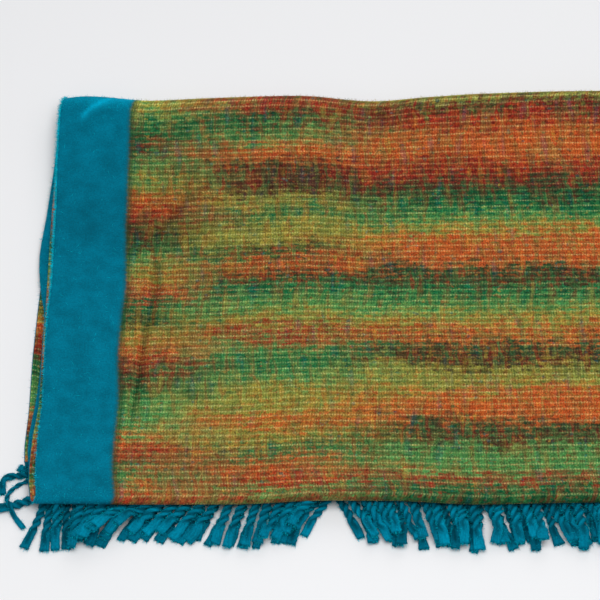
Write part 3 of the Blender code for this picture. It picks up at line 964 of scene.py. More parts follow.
def lay_strands(row, sizes, pile):
    """All strands of one fringe, laid from left to right on what is there already."""
    fringe = FRINGES[row]
    draw = np.random.default_rng(SEED + fringe.strand_seed)
    by_hand = CORNER_STRANDS[row]
    last = sizes.strands_a_row - 1 - len(by_hand)
    shift = np.array(shift_to_frame(sizes))
    share = np.linspace(0.0, 1.0, STRAND_RINGS)
    grown = ease(share / ROOT_SHARE)
    strands = []
    for number in range(sizes.strands_a_row):
        x = fringe.first_x + (fringe.last_x - fringe.first_x) * (number - len(by_hand)) / last
        x = float(max(x, FIRST_ROOT_X))
        behind = float(read(END_LINES, x, row))
        over = float(overhang(behind, fringe.layer))
        root = np.array((x - over, float(depth_place(x, behind, sizes))))
        loose = 1.0 if x > LOOSE_FROM_X else HELD_SHARE
        lean = float(read(LEANS, x, row)) + draw.normal(0.0, LEAN_SPREAD) * loose
        turn = float(read(LEANS, x, "turn")) + draw.normal(0.0, TURN_SPREAD) * loose
        length = sizes.strand_length + draw.uniform(*LENGTH_CHANGES)
        sway, phase = draw.uniform(*SWAYS), draw.uniform(0.0, math.tau)
        size, end_size = draw.uniform(*STRAND_SIZES), draw.uniform(*TIP_SIZES)
        twist_phase = draw.uniform(0.0, math.pi)
        tone = draw.uniform(-1.0, 1.0)
        opened = draw.uniform(*OPENINGS)
        if EARLY_STRETCH[0] < x < EARLY_STRETCH[1]:
            opened -= EARLY_FLARE
        flared = ease((share - opened) / FLARE_SHARE)
        if number < len(by_hand):
            points, headings, walked = corner_points(by_hand[number].path, STRAND_RINGS)
            size, end_size = by_hand[number].size, by_hand[number].end
        else:
            points, headings, walked = leaning_line(root, lean, turn, length, sway, phase)
        width = root_to_tip(ROOT_WIDTH, sizes.strand_width * size,
                            sizes.strand_end_width * end_size, grown, flared)
        height = root_to_tip(ROOT_HEIGHT, sizes.strand_height * size,
                             sizes.strand_end_height, grown, flared)
        root_height = float(layer_height(x, behind, fringe.layer, sizes))
        base = settle(points, walked, root_height, width, height, pile)
        middle = np.column_stack([points, base + height / 2.0]) + shift
        twist = twist_phase + math.pi * walked / sizes.twist_length
        lobes = grown * (1.0 - flared)
        strands.append(Strand(middle, headings, walked, width, height, twist, tone, lobes))
    return strands


def beside(headings):
    """The level direction to the right of each heading."""
    return np.stack([np.cos(headings), np.sin(headings), 0.0 * headings], axis=-1)


def ahead_of(headings):
    """The level direction of each heading."""
    return np.stack([np.sin(headings), -np.cos(headings), 0.0 * headings], axis=-1)


def strand_shade(strand, lobes, reach, angle):
    """The painted shade of each point of a strand: darker in the twist's valleys, below and at its
    root.
    """
    valley = (reach - reach.min()) / max(np.ptp(reach), 0.01)
    shade = 0.40 + 0.68 * (1.0 - lobes + lobes * valley ** 1.3)
    from_root = 0.72 + 0.28 * ease(strand.walked / 0.034)
    return shade * (0.86 + 0.16 * np.sin(angle)) * from_root[:, None]


def strand_mesh(strand, draw):
    """Points, faces and painted shades of one twisted strand with a flat cut end."""
    around = np.arange(STRAND_SIDES) / STRAND_SIDES * math.tau
    plies = PLY_APART * np.abs(np.cos(around)) + np.sqrt(
        PLY_RADIUS ** 2 - (PLY_APART * np.sin(around)) ** 2)
    share = np.linspace(0.0, 1.0, len(strand.twist))
    twist = np.minimum(strand.twist, np.interp(TWIST_END, share, strand.twist))
    twist = twist - (twist[-1] % math.pi) * ease(share * 2.2 - 1.0)
    angle = around[None, :] + twist[:, None]
    lobes = strand.lobes[:, None]
    reach = plies[None, :] * lobes + (1.0 - lobes)
    shade = strand_shade(strand, lobes, reach, angle)
    squareness = 1.0 + 0.16 * (1.0 - lobes) * np.sin(2.0 * angle) ** 2
    reach = reach * squareness * (1.0 + 0.045 * draw.standard_normal(reach.shape))
    wide = strand.width[:, None] / 2.0 * reach * np.cos(angle)
    high = strand.height[:, None] / 2.0 * reach * np.sin(angle)
    ahead = ahead_of(strand.headings[-1])
    points = strand.points[:, None, :] + beside(strand.headings)[:, None, :] * wide[:, :, None]
    points[:, :, 2] = np.maximum(points[:, :, 2] + high, FLOOR_GAP)
    points[-1] += ahead * draw.uniform(-0.0016, 0.0012, STRAND_SIDES)[:, None]
    tips = np.stack([strand.points[0], strand.points[-1] + ahead * 0.0004])

    number = np.arange(shade.size).reshape(shade.shape)
    following = np.roll(number, -1, axis=1)
    quads = np.stack([number[:-1], following[:-1], following[1:], number[1:]], axis=-1)
    faces = quads.reshape(-1, 4).tolist()
    start, end = shade.size, shade.size + 1
    faces += [[start, b, a] for a, b in zip(number[0], following[0])]
    faces += [[end, a, b] for a, b in zip(number[-1], following[-1])]
    # Painted shade on the end caps: darker at the root under the cloth than at the tip
    shades = np.concatenate([shade.ravel(), [0.5, 0.8]])
    return np.concatenate([points.reshape(-1, 3), tips]), faces, shades


def strip_mesh(row, sizes):
    """The narrow woven heading that a fringe's strands hang from."""
    layer = FRINGES[row].layer
    x = np.linspace(-0.5, 0.5, 121) * sizes.cloth_width
    behind = read(END_LINES, x, row)
    place_x = x - overhang(behind, layer)
    place_y = depth_place(x, behind, sizes)
    middle = layer_height(x, behind, layer, sizes)
    half = sizes.cloth_thickness / 2.0
    back, front = -STRIP_GAP, -STRIP_GAP - STRIP_DEPTH
    section = ((back, half), (front, half * 0.8), (front, -half * 0.8), (back, -half))
    points = np.stack([np.stack([place_x, place_y + y, middle + z], axis=1) for y, z in section], 1)
    points = points + np.array(shift_to_frame(sizes))
    number = np.arange(len(x) * 4).reshape(-1, 4)
    following = np.roll(number, -1, axis=1)
    quads = np.stack([number[:-1], number[1:], following[1:], following[:-1]], axis=-1)
    faces = quads.reshape(-1, 4).tolist() + [number[0].tolist(), number[-1][::-1].tolist()]
    return points.reshape(-1, 3), faces


@functools.lru_cache(maxsize=1)
def fringe_strands():
    """The strands of both fringes, the lower one laid first."""
    sizes = bpy.context.scene.blanket_sizes
    pile = Pile(PILE_LOW, PILE_HIGH)
    return {row: lay_strands(row, sizes, pile) for row in FRINGES}


def make_fringe(row, sizes):
    """One fringe: its heading and all its strands, joined in one mesh."""
    fringe = FRINGES[row]
    draw = np.random.default_rng(SEED + fringe.yarn_seed)
    strip, faces = strip_mesh(row, sizes)
    points = [strip]
    places = [np.column_stack([strip[:, 0], strip[:, 2] * 3.0])]
    tones = [np.zeros(len(strip))]
    # The heading lies under the cloth and gets a painted shade
    shades = [np.full(len(strip), 0.6)]
    count = len(strip)
    for number, strand in enumerate(fringe_strands()[row]):
        made, made_faces, shade = strand_mesh(strand, draw)
        points.append(made)
        faces += [[corner + count for corner in face] for face in made_faces]
        count += len(made)
        start = number * YARN_STEP
        along = np.repeat(strand.walked, STRAND_SIDES) + start
        around = np.tile(np.arange(STRAND_SIDES) / STRAND_SIDES, len(strand.walked)) * YARN_ROUND
        ends = [[start, YARN_ROUND / 2.0], [start + strand.walked[-1], YARN_ROUND / 2.0]]
        places.append(np.concatenate([np.column_stack([along, around]), ends]))
        tones.append(np.full(len(made), strand.tone))
        # Painted shade on the lower fringe, a painted highlight on the upper one
        shades.append(shade * fringe.light)
    made = new_mesh(f"fringe_{row}_strands", np.concatenate(points), faces)
    set_uv(made.data, "Yarn", np.concatenate(places)[face_corners(made.data)])
    add_values(made.data, "tone", np.concatenate(tones))
    add_values(made.data, "shade", np.concatenate(shades))
    return made


def fibre_mesh(name, roots, directions, lengths, width, places, draw):
    """Fine tapering fibres, each a closed three-sided spike bent once, with its root's place."""
    count = len(roots)
    directions = directions / np.linalg.norm(directions, axis=1, keepdims=True)
    aside = np.cross(directions, draw.normal(size=(count, 3)))
    aside /= np.linalg.norm(aside, axis=1, keepdims=True)
    other = np.cross(directions, aside)
    bend = draw.uniform(-0.35, 0.35, (count, 1)) * lengths[:, None]
    middle = roots + directions * lengths[:, None] * 0.5 + aside * bend * 0.5
    tip = roots + directions * lengths[:, None] + aside * bend * 0.2
    corners = []
    for centre, share in ((roots, 1.0), (middle, 0.75)):
        for k in range(3):
            angle = math.tau * k / 3
            out = aside * math.cos(angle) + other * math.sin(angle)
            corners.append(centre + out * width * share / 2.0)
    corners.append(tip)
    points = np.stack(corners, axis=1)
    points[:, :, 2] = np.maximum(points[:, :, 2], FIBRE_FLOOR_GAP)
    pattern = [[0, 1, 4, 3], [1, 2, 5, 4], [2, 0, 3, 5], [3, 4, 6], [4, 5, 6], [5, 3, 6], [2, 1, 0]]
    faces = [[corner + 7 * fibre for corner in face] for fibre in range(count) for face in pattern]
    made = new_mesh(name, points.reshape(-1, 3), faces)
    set_uv(made.data, "Weave", places[face_corners(made.data) // 7])
    return made


def on_cloth(rows, columns):
    """Points, normals and weave places of the cloth's surface at places between its grid lines."""
    middle = cloth_middle()
    half = bpy.context.scene.blanket_sizes.cloth_thickness / 2.0
    k = np.clip(rows.astype(int), 0, len(middle.along) - 2)
    i = np.clip(columns.astype(int), 0, len(middle.across) - 2)
    s = (rows - k)[:, None]
    t = (columns - i)[:, None]

    def blend(grid):
        """A grid's value between its lines."""
        near = grid[k, i] * (1 - s) + grid[k + 1, i] * s
        far = grid[k, i + 1] * (1 - s) + grid[k + 1, i + 1] * s
        return near * (1 - t) + far * t

    normals = blend(middle.normals)
    normals /= np.linalg.norm(normals, axis=1, keepdims=True)
    across = middle.across[i] * (1 - t[:, 0]) + middle.across[i + 1] * t[:, 0]
    along = middle.along[k] * (1 - s[:, 0]) + middle.along[k + 1] * s[:, 0]
    points = blend(middle.points) + normals * half * FIBRE_ROOT_SHARE
    return points, normals, np.column_stack([across, along])


def fibre_groups(middle, width):
    """Groups of loose fibres: each one's name, count, rows and places across."""
    every_row = (0, len(middle.along) - 1)
    full = (0.0, width)
    rear_fold = (middle.top_start - OUTER_FOLD_STEPS + 3, middle.top_start + 6)
    front_fold = (middle.top_end - 6, middle.top_end + 5)
    return (
        ("left edge", 5200, every_row, (0.0, SELVEDGE_REACH)),
        ("right edge", 1400, every_row, (width - SELVEDGE_REACH, width)),
        ("rear fold", 8000, rear_fold, full),
        ("front fold", 1800, front_fold, full),
        ("top", 2600, (middle.top_start, middle.top_end), full),
    )


def make_cloth_fibres(sizes):
    """Loose fibres: along the selvedges, over both outer folds and scattered on the top."""
    draw = np.random.default_rng(SEED + 9)
    middle = cloth_middle()
    every = np.arange(len(middle.across))
    roots, directions, lengths, places = [], [], [], []
    for name, count, rows, span in fibre_groups(middle, sizes.cloth_width):
        row = draw.uniform(*rows, count)
        column = np.interp(draw.uniform(*span, count), middle.across, every)
        point, normal, place = on_cloth(row, column)
        aside = draw.normal(0.0, 1.0, (count, 3))
        aside[:, 2] *= 0.2
        if name == "left edge":
            behind = (point[:, 1] + sizes.folded_depth / 2.0) / sizes.folded_depth
            kept = draw.uniform(0.0, 1.0, count) < 0.18 + 0.82 * ease(1.5 * behind - 0.4)
            point, normal, place, aside = point[kept], normal[kept], place[kept], aside[kept]
            count = len(point)
        if "edge" in name:
            out = np.array((-1.0 if name == "left edge" else 1.0, 0.0, 0.0))
            direction = out + normal * draw.uniform(-0.2, 0.4, (count, 1)) + aside * 0.45
            share = draw.uniform(0.35, 1.0, count)
        elif "fold" in name:
            direction = normal * draw.uniform(0.3, 1.0, (count, 1)) + aside * 0.7
            share = draw.uniform(0.2, 0.7, count)
        else:
            direction = normal * draw.uniform(0.05, 0.35, (count, 1)) + aside
            share = draw.uniform(0.5, 1.3, count)
        roots.append(point)
        directions.append(direction)
        lengths.append(share * sizes.fibre_length)
        places.append(place)
    roots, directions, lengths, places = map(np.concatenate, (roots, directions, lengths, places))
    return fibre_mesh("loose_fibres_cloth", roots, directions, lengths, sizes.fibre_width, places,
                      draw)


def make_fringe_fibres(sizes):
    """Loose fibres all along the fringe strands and at their tips."""
    draw = np.random.default_rng(SEED + 10)
    roots, directions = [], []
    count, tips = FIBRES_A_STRAND, FIBRES_A_TIP
    for row in FRINGES:
        for strand in fringe_strands()[row]:
            ring = draw.uniform(4, STRAND_RINGS - 1.01, count)
            k = ring.astype(int)
            s = (ring - k)[:, None]
            centre = strand.points[k] * (1 - s) + strand.points[k + 1] * s
            low = draw.uniform(-0.35, 0.35, count) + math.pi * draw.integers(0, 2, count)
            angle = np.where(draw.uniform(0.0, 1.0, count) < 0.55, low,
                             draw.uniform(-0.3, math.pi + 0.3, count))
            out = beside(strand.headings[k]) * np.cos(angle)[:, None]
            out[:, 2] = np.sin(angle)
            size = np.column_stack([strand.width[k], strand.width[k], strand.height[k]])
            roots.append(centre + out * (size * 0.40))
            forward = ahead_of(strand.headings[k]) * draw.uniform(-0.6, 1.0, (count, 1))
            directions.append(out + forward + draw.normal(0.0, 0.3, (count, 3)))

            across = draw.uniform(-0.5, 0.5, (tips, 1)) * strand.width[-1]
            rise = draw.uniform(-0.5, 0.3, tips) * strand.height[-1]
            tip = strand.points[-1] + across * beside(strand.headings[-1])
            tip[:, 2] += rise
            roots.append(tip)
            end = ahead_of(strand.headings[-1])
            directions.append(end + draw.normal(0.0, 0.35, (tips, 3)) * (1.0, 1.0, 0.4))
    roots, directions = np.concatenate(roots), np.concatenate(directions)
    lengths = draw.uniform(0.3, 0.8, len(roots)) * sizes.fibre_length
    places = np.column_stack([draw.uniform(0.0, 1.0, len(roots)) for _ in range(2)])
    return fibre_mesh("loose_fibres_fringe", roots, directions, lengths, sizes.fibre_width, places,
                      draw)


class Board:
    """Sets nodes into a tree and joins them."""

    def __init__(self, tree):
        """An empty board on a node tree."""
        self.tree = tree
        self.tree.nodes.clear()

    def fill(self, node, inputs):
        """Join or set a node's inputs."""
        for socket, value in inputs.items():
            if isinstance(value, bpy.types.NodeSocket):
                self.tree.links.new(value, node.inputs[socket])
            else:
                node.inputs[socket].default_value = value

    def put(self, kind, inputs=None, out=0, **settings):
        """A node with its settings and inputs; returns one of its outputs."""
        node = self.tree.nodes.new(kind)
        for name, value in settings.items():
            setattr(node, name, value)
        self.fill(node, inputs or {})
        return node.outputs[out]

    def math(self, operation, a, b=0.0, c=0.0):
        """Arithmetic on one, two or three values."""
        return self.put("ShaderNodeMath", {0: a, 1: b, 2: c}, operation=operation)

    def plus(self, a, b):
        """The sum of two values."""
        return self.math("ADD", a, b)

    def times(self, a, b):
        """The product of two values."""
        return self.math("MULTIPLY", a, b)

    def over(self, a, b):
        """One value divided by another."""
        return self.math("DIVIDE", a, b)

    def scaled(self, value, by, start):
        """A value stretched by a factor, from a new start."""
        return self.math("MULTIPLY_ADD", value, by, start)

    def swing(self, share, far):
        """A share from 0 to 1 as a swing to both sides of zero."""
        return self.scaled(share, 2.0 * far, -far)

    def mix(self, share, a, b, blend_type="MIX"):
        """A share of the way from one colour to another."""
        return self.put("ShaderNodeMix", {0: share, 6: a, 7: b}, 2, data_type="RGBA",
                        blend_type=blend_type)

    def blend(self, share, a, b):
        """A share of the way from one value to another."""
        return self.put("ShaderNodeMix", {0: share, 2: a, 3: b}, data_type="FLOAT")

    def place(self, x, y, z=0.0):
        """A place from its parts."""
        return self.put("ShaderNodeCombineXYZ", {0: x, 1: y, 2: z})

    def split(self, vector):
        """The X and the Y of a vector."""
        node = self.put("ShaderNodeSeparateXYZ", {0: vector}).node
        return node.outputs[0], node.outputs[1]

    def split_colour(self, colour):
        """The three shares of a colour."""
        node = self.put("ShaderNodeSeparateColor", {0: colour}).node
        return node.outputs[0], node.outputs[1], node.outputs[2]

    def noise(self, place, scale=1.0, detail=2.0, roughness=0.5):
        """Cloudy values from 0 to 1."""
        return self.put("ShaderNodeTexNoise", {"Vector": place, "Scale": scale, "Detail": detail,
                                               "Roughness": roughness})

    def shaded(self, colour, shade):
        """A colour made lighter or darker."""
        even = self.put("ShaderNodeCombineColor", {0: shade, 1: shade, 2: shade})
        return self.mix(1.0, colour, even, "MULTIPLY")

    def smooth(self, value, low, high, to_low=0.0, to_high=1.0):
        """A value's soft step from one level to another."""
        return self.put("ShaderNodeMapRange", {0: value, 1: low, 2: high, 3: to_low, 4: to_high},
                        interpolation_type="SMOOTHSTEP")


def new_group(name, inputs, outputs):
    """An empty shader node group, with a board to build it on, and its input sockets."""
    tree = bpy.data.node_groups.new(name, "ShaderNodeTree")
    board = Board(tree)
    for label, kind, value in inputs:
        socket = tree.interface.new_socket(label, in_out="INPUT", socket_type=kind)
        if value is not None:
            socket.default_value = value
    for label, kind in outputs:
        tree.interface.new_socket(label, in_out="OUTPUT", socket_type=kind)
    entry = tree.nodes.new("NodeGroupInput")
    return tree, board, entry.outputs


def close_group(tree, values):
    """Join a group's results to its outputs."""
    node = tree.nodes.new("NodeGroupOutput")
    for label, value in values.items():
        tree.links.new(value, node.inputs[label])


def dye_ramp(board, place, runs, colours, depth):
    """A colour ramp through a list of dye runs."""
    node = board.tree.nodes.new("ShaderNodeValToRGB")
    ramp = node.color_ramp
    ramp.interpolation = "EASE"
    for behind, _ in runs[1:-1]:
        ramp.elements.new(behind / depth)
    for element, (behind, dye) in zip(ramp.elements, runs):
        element.position = min(behind / depth, 1.0)
        element.color = getattr(colours, dye)
    board.tree.links.new(place, node.inputs[0])
    return node.outputs[0]


def row_pitch(sizes):
    """From one raised row of the folded top to the next."""
    flat = sizes.folded_depth - sizes.cloth_thickness - FRONT_FOLD_REACH - OUTER_FOLD_REACH
    return flat / sizes.row_count


def loosened_place(board, given):
    """The place across and along the cloth, moved a little at random as brushed yarns are."""
    flat = board.place(given["Across"], given["Along"])
    moved = board.put("ShaderNodeTexNoise", {"Vector": flat, "Scale": 380.0, "Detail": 2.0}, 1)
    moved = board.put("ShaderNodeVectorMath", {0: moved, 1: (0.5, 0.5, 0.5)}, operation="SUBTRACT")
    moved = board.put("ShaderNodeVectorMath", {0: moved, "Scale": 0.0026}, operation="SCALE")
    return board.split(board.put("ShaderNodeVectorMath", {0: flat, 1: moved}, operation="ADD"))


def streaks(board, place, wide, long, salt, detail=1.0):
    """Soft noise whose cells are so wide across the cloth and so long along it."""
    across, along = place
    return board.noise(board.place(board.over(across, wide), board.over(along, long), salt),
                       1.0, detail)


def patches(board, x, y, salt):
    """Three chances for each irregular patch of a plane."""
    return board.split_colour(board.put("ShaderNodeTexVoronoi", {
        "Vector": board.place(x, y, salt), "Scale": 1.0, "Randomness": 1.0}, 1))


def weft_dye(board, along, shift, columns, sizes, colours):
    """The weft's dye where its runs are shifted along the cloth, from left to middle to right."""
    depth = sizes.folded_depth
    rear = depth - sizes.cloth_thickness / 2.0 - OUTER_FOLD_REACH
    panel = board.math("SUBTRACT", rear, board.plus(along, shift))
    panel = board.over(board.math("PINGPONG", panel, depth), depth)
    left, middle, right = [dye_ramp(board, panel, runs, colours, depth)
                           for runs in (DYE_RUNS_LEFT, DYE_RUNS_MIDDLE, DYE_RUNS_RIGHT)]
    to_middle, to_right = columns
    return board.mix(to_right, board.mix(to_middle, left, middle), right)


def dyed_yarns(board, place, pick, sizes, colours):
    """The colour of all yarns, from scattered runs, warp and odd flecks, and that of the weft."""
    across, along = place
    push, bright, aside = patches(board, board.over(across, 0.017), board.times(pick, 1.37), 1.0)
    side = board.math("PINGPONG", across, sizes.cloth_width / 2.0)
    side = board.plus(side, board.swing(streaks(board, place, 0.080, 0.012, 2.0), 0.06))
    side = board.plus(side, board.swing(aside, 0.025))
    columns = board.smooth(side, 0.08, 0.25), board.smooth(side, 0.27, 0.45)
    shift = board.plus(board.swing(push, 0.009),
                       board.swing(streaks(board, place, 0.085, 0.035, 3.0), 0.018))
    weft = weft_dye(board, along, shift, columns, sizes, colours)
    drift = board.swing(streaks(board, place, 0.0080, 0.0050, 9.0, 3.0), 0.090)
    near = weft_dye(board, along, board.plus(shift, drift), columns, sizes, colours)
    colour = board.mix(0.40, weft, near)
    hue = board.smooth(streaks(board, place, 0.0100, 0.045, 11.0), 0.22, 0.78)
    share = board.smooth(streaks(board, place, 0.0076, 0.050, 13.0), 0.34, 0.66, 0.06, 0.32)
    colour = board.mix(share, colour, dye_ramp(board, hue, WARP_RUNS, colours, 1.0))
    fleck, choice, _ = patches(board, board.over(across, 0.0036), board.over(along, 0.0032), 2.0)
    odd = board.times(board.smooth(fleck, 0.08, 0.03), 0.40)
    colour = board.mix(odd, colour, dye_ramp(board, choice, WARP_RUNS, colours, 1.0))
    return board.shaded(colour, board.scaled(bright, 0.24, 0.88)), weft


def picks_and_gaps(board, place, in_row, bead, weft):
    """Where the pale raised picks show, and where painted shade darkens the gaps between the yarns
    and rows.
    """
    pale = board.times(board.smooth(in_row, 0.05, 0.19, 1.0, 0.0), board.scaled(bead, 0.80, 0.20))
    strength = streaks(board, place, 0.016, 0.006, 2.0, 2.0)
    grain = streaks(board, place, 0.0013, 0.0013, 12.0)
    depth = board.put("ShaderNodeRGBToBW", {0: weft})
    pale = board.times(pale, board.smooth(strength, 0.25, 0.70, 0.20, 0.90))
    pale = board.times(pale, board.smooth(grain, 0.30, 0.60, 0.45, 1.0))
    pale = board.times(pale, board.smooth(depth, 0.02, 0.14, 0.40, 1.0))
    holes = board.smooth(streaks(board, place, 0.0019, 0.0024, 4.0, 2.0), 0.44, 0.66)
    gap = board.times(board.smooth(in_row, 0.12, 0.24), holes)
    return pale, board.math("MAXIMUM", gap, board.smooth(in_row, 0.38, 0.50, 0.0, 0.28))


def nap_shade(board, place, nap, bead):
    """How light the brushed nap is from place to place, with a painted shade across each raised
    warp yarn.
    """
    cloud = streaks(board, place, 0.011, 0.011, 8.0, 3.0)
    shade = board.times(board.smooth(nap, 0.25, 0.75, 0.60, 1.40),
                        board.smooth(cloud, 0.2, 0.8, 0.84, 1.16))
    # Painted shade across each raised warp yarn
    shade = board.times(shade, board.scaled(bead, 0.20, 0.90))
    warp = streaks(board, place, 0.0042, 0.030, 15.0)
    return board.times(shade, board.smooth(warp, 0.30, 0.70, 0.85, 1.15))


def weave_group(sizes, colours):
    """Space-dyed yarns woven in rows, with a pale raised pick in each row, all brushed soft."""
    tree, board, given = new_group(
        "Space-dyed weave",
        [("Across", "NodeSocketFloat", None), ("Along", "NodeSocketFloat", None),
         ("Row pitch", "NodeSocketFloat", row_pitch(sizes)),
         ("Yarn pitch", "NodeSocketFloat", sizes.yarn_pitch)], SURFACE)
    place = loosened_place(board, given)
    across, along = place
    rows = board.over(along, given["Row pitch"])
    rows = board.plus(rows, board.swing(streaks(board, place, 0.045, 0.020, 5.0), 0.11))
    nearest = board.math("FLOOR", board.plus(rows, 0.5))
    in_row = board.math("ABSOLUTE", board.math("SUBTRACT", rows, nearest))
    pick = board.math("FLOOR", board.times(rows, 2.0))
    yarns = board.plus(board.over(across, given["Yarn pitch"]),
                       board.times(streaks(board, place, 0.030, 0.060, 7.0), 1.3))
    bead = board.scaled(board.math("COSINE", board.times(yarns, math.tau)), 0.5, 0.5)

    colour, weft = dyed_yarns(board, place, pick, sizes, colours)
    pale, gap = picks_and_gaps(board, place, in_row, bead, weft)
    # Painted shade in the gaps between the yarns and between the rows
    deep = board.mix(0.80, colour, tuple(colours.shade), "MULTIPLY")
    dark = board.mix(board.times(gap, 0.54), colour, deep)
    # The raised picks: pale mixed with the yarn colour lightened as a painted highlight
    light = board.mix(0.58, board.mix(0.9, colour, colour, "SCREEN"), tuple(colours.pale))
    nap = streaks(board, place, 0.0012, 0.0030, 6.0, 3.0)
    colour = board.shaded(board.mix(pale, dark, light), nap_shade(board, place, nap, bead))
    height = board.plus(board.times(pale, 0.55), board.times(nap, 0.40))
    height = board.math("SUBTRACT", height, board.times(gap, 0.40))
    close_group(tree, {"Colour": colour, "Height": height,
                       "Dryness": board.smooth(nap, 0.2, 0.8, 0.82, 1.0)})
    return tree


def felt_group():
    """Felted wool: mottled, with short matted fibres."""
    tree, board, given = new_group(
        "Felted wool",
        [("Place", "NodeSocketVector", None), ("Colour", "NodeSocketColor", (0.0, 0.15, 0.24, 1.0)),
         ("Tone", "NodeSocketFloat", 0.0)], SURFACE)
    place = given["Place"]
    cloud = board.noise(place, 38.0, 4.0, 0.6)
    fleck = board.noise(place, 520.0, 3.0, 0.7)
    matted = board.put("ShaderNodeTexVoronoi", {"Vector": place, "Scale": 300.0, "Randomness": 1.0},
                       feature="SMOOTH_F1")
    shade = board.times(board.smooth(cloud, 0.25, 0.75, 0.80, 1.18),
                        board.smooth(fleck, 0.2, 0.8, 0.74, 1.28))
    shade = board.times(shade, board.scaled(given["Tone"], 0.16, 1.0))
    height = board.plus(board.times(fleck, 0.6), board.times(matted, 0.5))
    close_group(tree, {"Colour": board.shaded(given["Colour"], shade), "Height": height,
                       "Dryness": board.smooth(fleck, 0.2, 0.8, 0.84, 1.0)})
    return tree


def new_material(name, sheen, tint=(1.0, 1.0, 1.0, 1.0)):
    """A material with a wool shader; returns it with its board and the shader node."""
    made = bpy.data.materials.new(name)
    made.use_nodes = True
    board = Board(made.node_tree)
    shader = board.put("ShaderNodeBsdfPrincipled", {
        "Roughness": 0.95, "Specular IOR Level": 0.03, "Sheen Weight": sheen,
        "Sheen Roughness": 0.45, "Sheen Tint": tint}).node
    output = made.node_tree.nodes.new("ShaderNodeOutputMaterial")
    made.node_tree.links.new(shader.outputs[0], output.inputs[0])
    return made, board, shader


def place_group(board, group, inputs):
    """A group's node on a board; returns its outputs."""
    node = board.tree.nodes.new("ShaderNodeGroup")
    node.node_tree = group
    board.fill(node, inputs)
    return node.outputs


def finish_shader(board, shader, colour, height, dryness, depth):
    """Join a surface's colour, relief and dryness to its shader."""
    board.fill(shader, {"Base Color": colour, "Roughness": dryness})
    if height is not None:
        normal = board.put("ShaderNodeBump", {"Height": height, "Strength": 1.0, "Distance": depth})
        board.fill(shader, {"Normal": normal})


def inside_edge(board, place, across, along, sizes):
    """How far a place lies inside the nearer selvedge, on a line that bows, frays and is fuzzy."""
    inside = board.math("MINIMUM", across, board.math("SUBTRACT", sizes.cloth_width, across))
    fuzz = board.noise(place, 330.0, 3.0)
    bow = board.noise(board.place(board.times(along, 9.0), 4.0), 1.0, 1.0)
    ragged = board.noise(board.place(board.times(along, 140.0), 0.0))
    inside = board.plus(inside, board.swing(ragged, 0.0012))
    inside = board.plus(inside, board.swing(fuzz, 0.0020))
    return board.plus(inside, board.scaled(bow, 0.009, -0.0060))


def cloth_material(name, groups, sizes, colours, with_band, as_fibres=False):
    """The woven cloth, with or without its felted bands, or the loose fibres of both."""
    made, board, shader = new_material(name, 0.10, (0.20, 0.70, 0.55, 1.0))
    place = board.put("ShaderNodeUVMap", uv_map="Weave")
    across, along = board.split(place)
    woven = place_group(board, groups["weave"], {"Across": across, "Along": along})
    colour, height, dryness = woven["Colour"], woven["Height"], woven["Dryness"]
    if with_band:
        inside = inside_edge(board, place, across, along, sizes)
        edge = sizes.band_width
        body = board.smooth(inside, edge - BAND_SOFTNESS, edge + BAND_SOFTNESS)
        # Painted shade in deep green along the cloth just inside the band's edge
        band_shade = board.math("ABSOLUTE", board.math("SUBTRACT", inside, edge + BAND_SHADE_OFFSET))
        band_shade = board.smooth(band_shade, 0.0, BAND_SHADE_REACH, BAND_SHADE_SHARE, 0.0)
        # Loose fibres take the lighter teal of their painted glow
        teal = tuple(colours.teal_fibre_glow if as_fibres else colours.teal)
        felt = place_group(board, groups["felt"], {"Place": place, "Colour": teal})
        colour = board.mix(body, felt["Colour"], colour)
        colour = board.mix(band_shade, colour, tuple(colours.deep_green))
        height = board.blend(body, felt["Height"], height)
        dryness = board.blend(body, felt["Dryness"], dryness)
    # Painted shade darkens the colour in the creases; a painted highlight lightens it along the
    # rear fold and the light crease
    painted_shade = board.put("ShaderNodeAttribute", out=2, attribute_name="fold_shade")
    # Loose fibres are lightened further, a painted glow
    light = board.math("SUBTRACT", FIBRE_PAINTED_GLOW if as_fibres else 1.0, painted_shade)
    colour = board.shaded(colour, light)
    finish_shader(board, shader, colour, None if as_fibres else height, dryness, 0.0008)
    return made


def yarn_material(groups, colours):
    """The fringe's teal yarn, whose strands differ a little in tone."""
    made, board, shader = new_material("teal_yarn", 0.25, (0.0, 0.60, 0.75, 1.0))
    place = board.put("ShaderNodeUVMap", uv_map="Yarn")
    tone = board.put("ShaderNodeAttribute", out=2, attribute_name="tone")
    felt = place_group(board, groups["felt"],
                       {"Place": place, "Colour": colours.teal, "Tone": tone})
    stretched = board.put("ShaderNodeMapping", {"Vector": place, "Scale": (60.0, 900.0, 1.0)})
    streak = board.noise(stretched, 1.0, 3.0, 0.6)
    # The strands' painted shade, made with the mesh
    shade = board.put("ShaderNodeAttribute", out=2, attribute_name="shade")
    light = board.times(board.smooth(streak, 0.25, 0.75, 0.82, 1.34), shade)
    colour = board.shaded(felt["Colour"], light)
    height = board.plus(felt["Height"], board.times(streak, 0.8))
    finish_shader(board, shader, colour, height, felt["Dryness"], 0.0007)
    return made


def fibre_material(groups, colours):
    """Loose teal fibres, lightened as a painted glow."""
    made, board, shader = new_material("teal_fibres", 0.4, (0.0, 0.75, 0.85, 1.0))
    place = board.put("ShaderNodeUVMap", uv_map="Weave")
    # The painted glow: the fibres' lighter teal, made lighter still
    light = tuple(min(1.0, value * FIBRE_PAINTED_GLOW) for value in colours.teal_fibre_glow)
    felt = place_group(board, groups["felt"], {"Place": place, "Colour": light})
    finish_shader(board, shader, felt["Colour"], None, felt["Dryness"], 0.0)
    return made


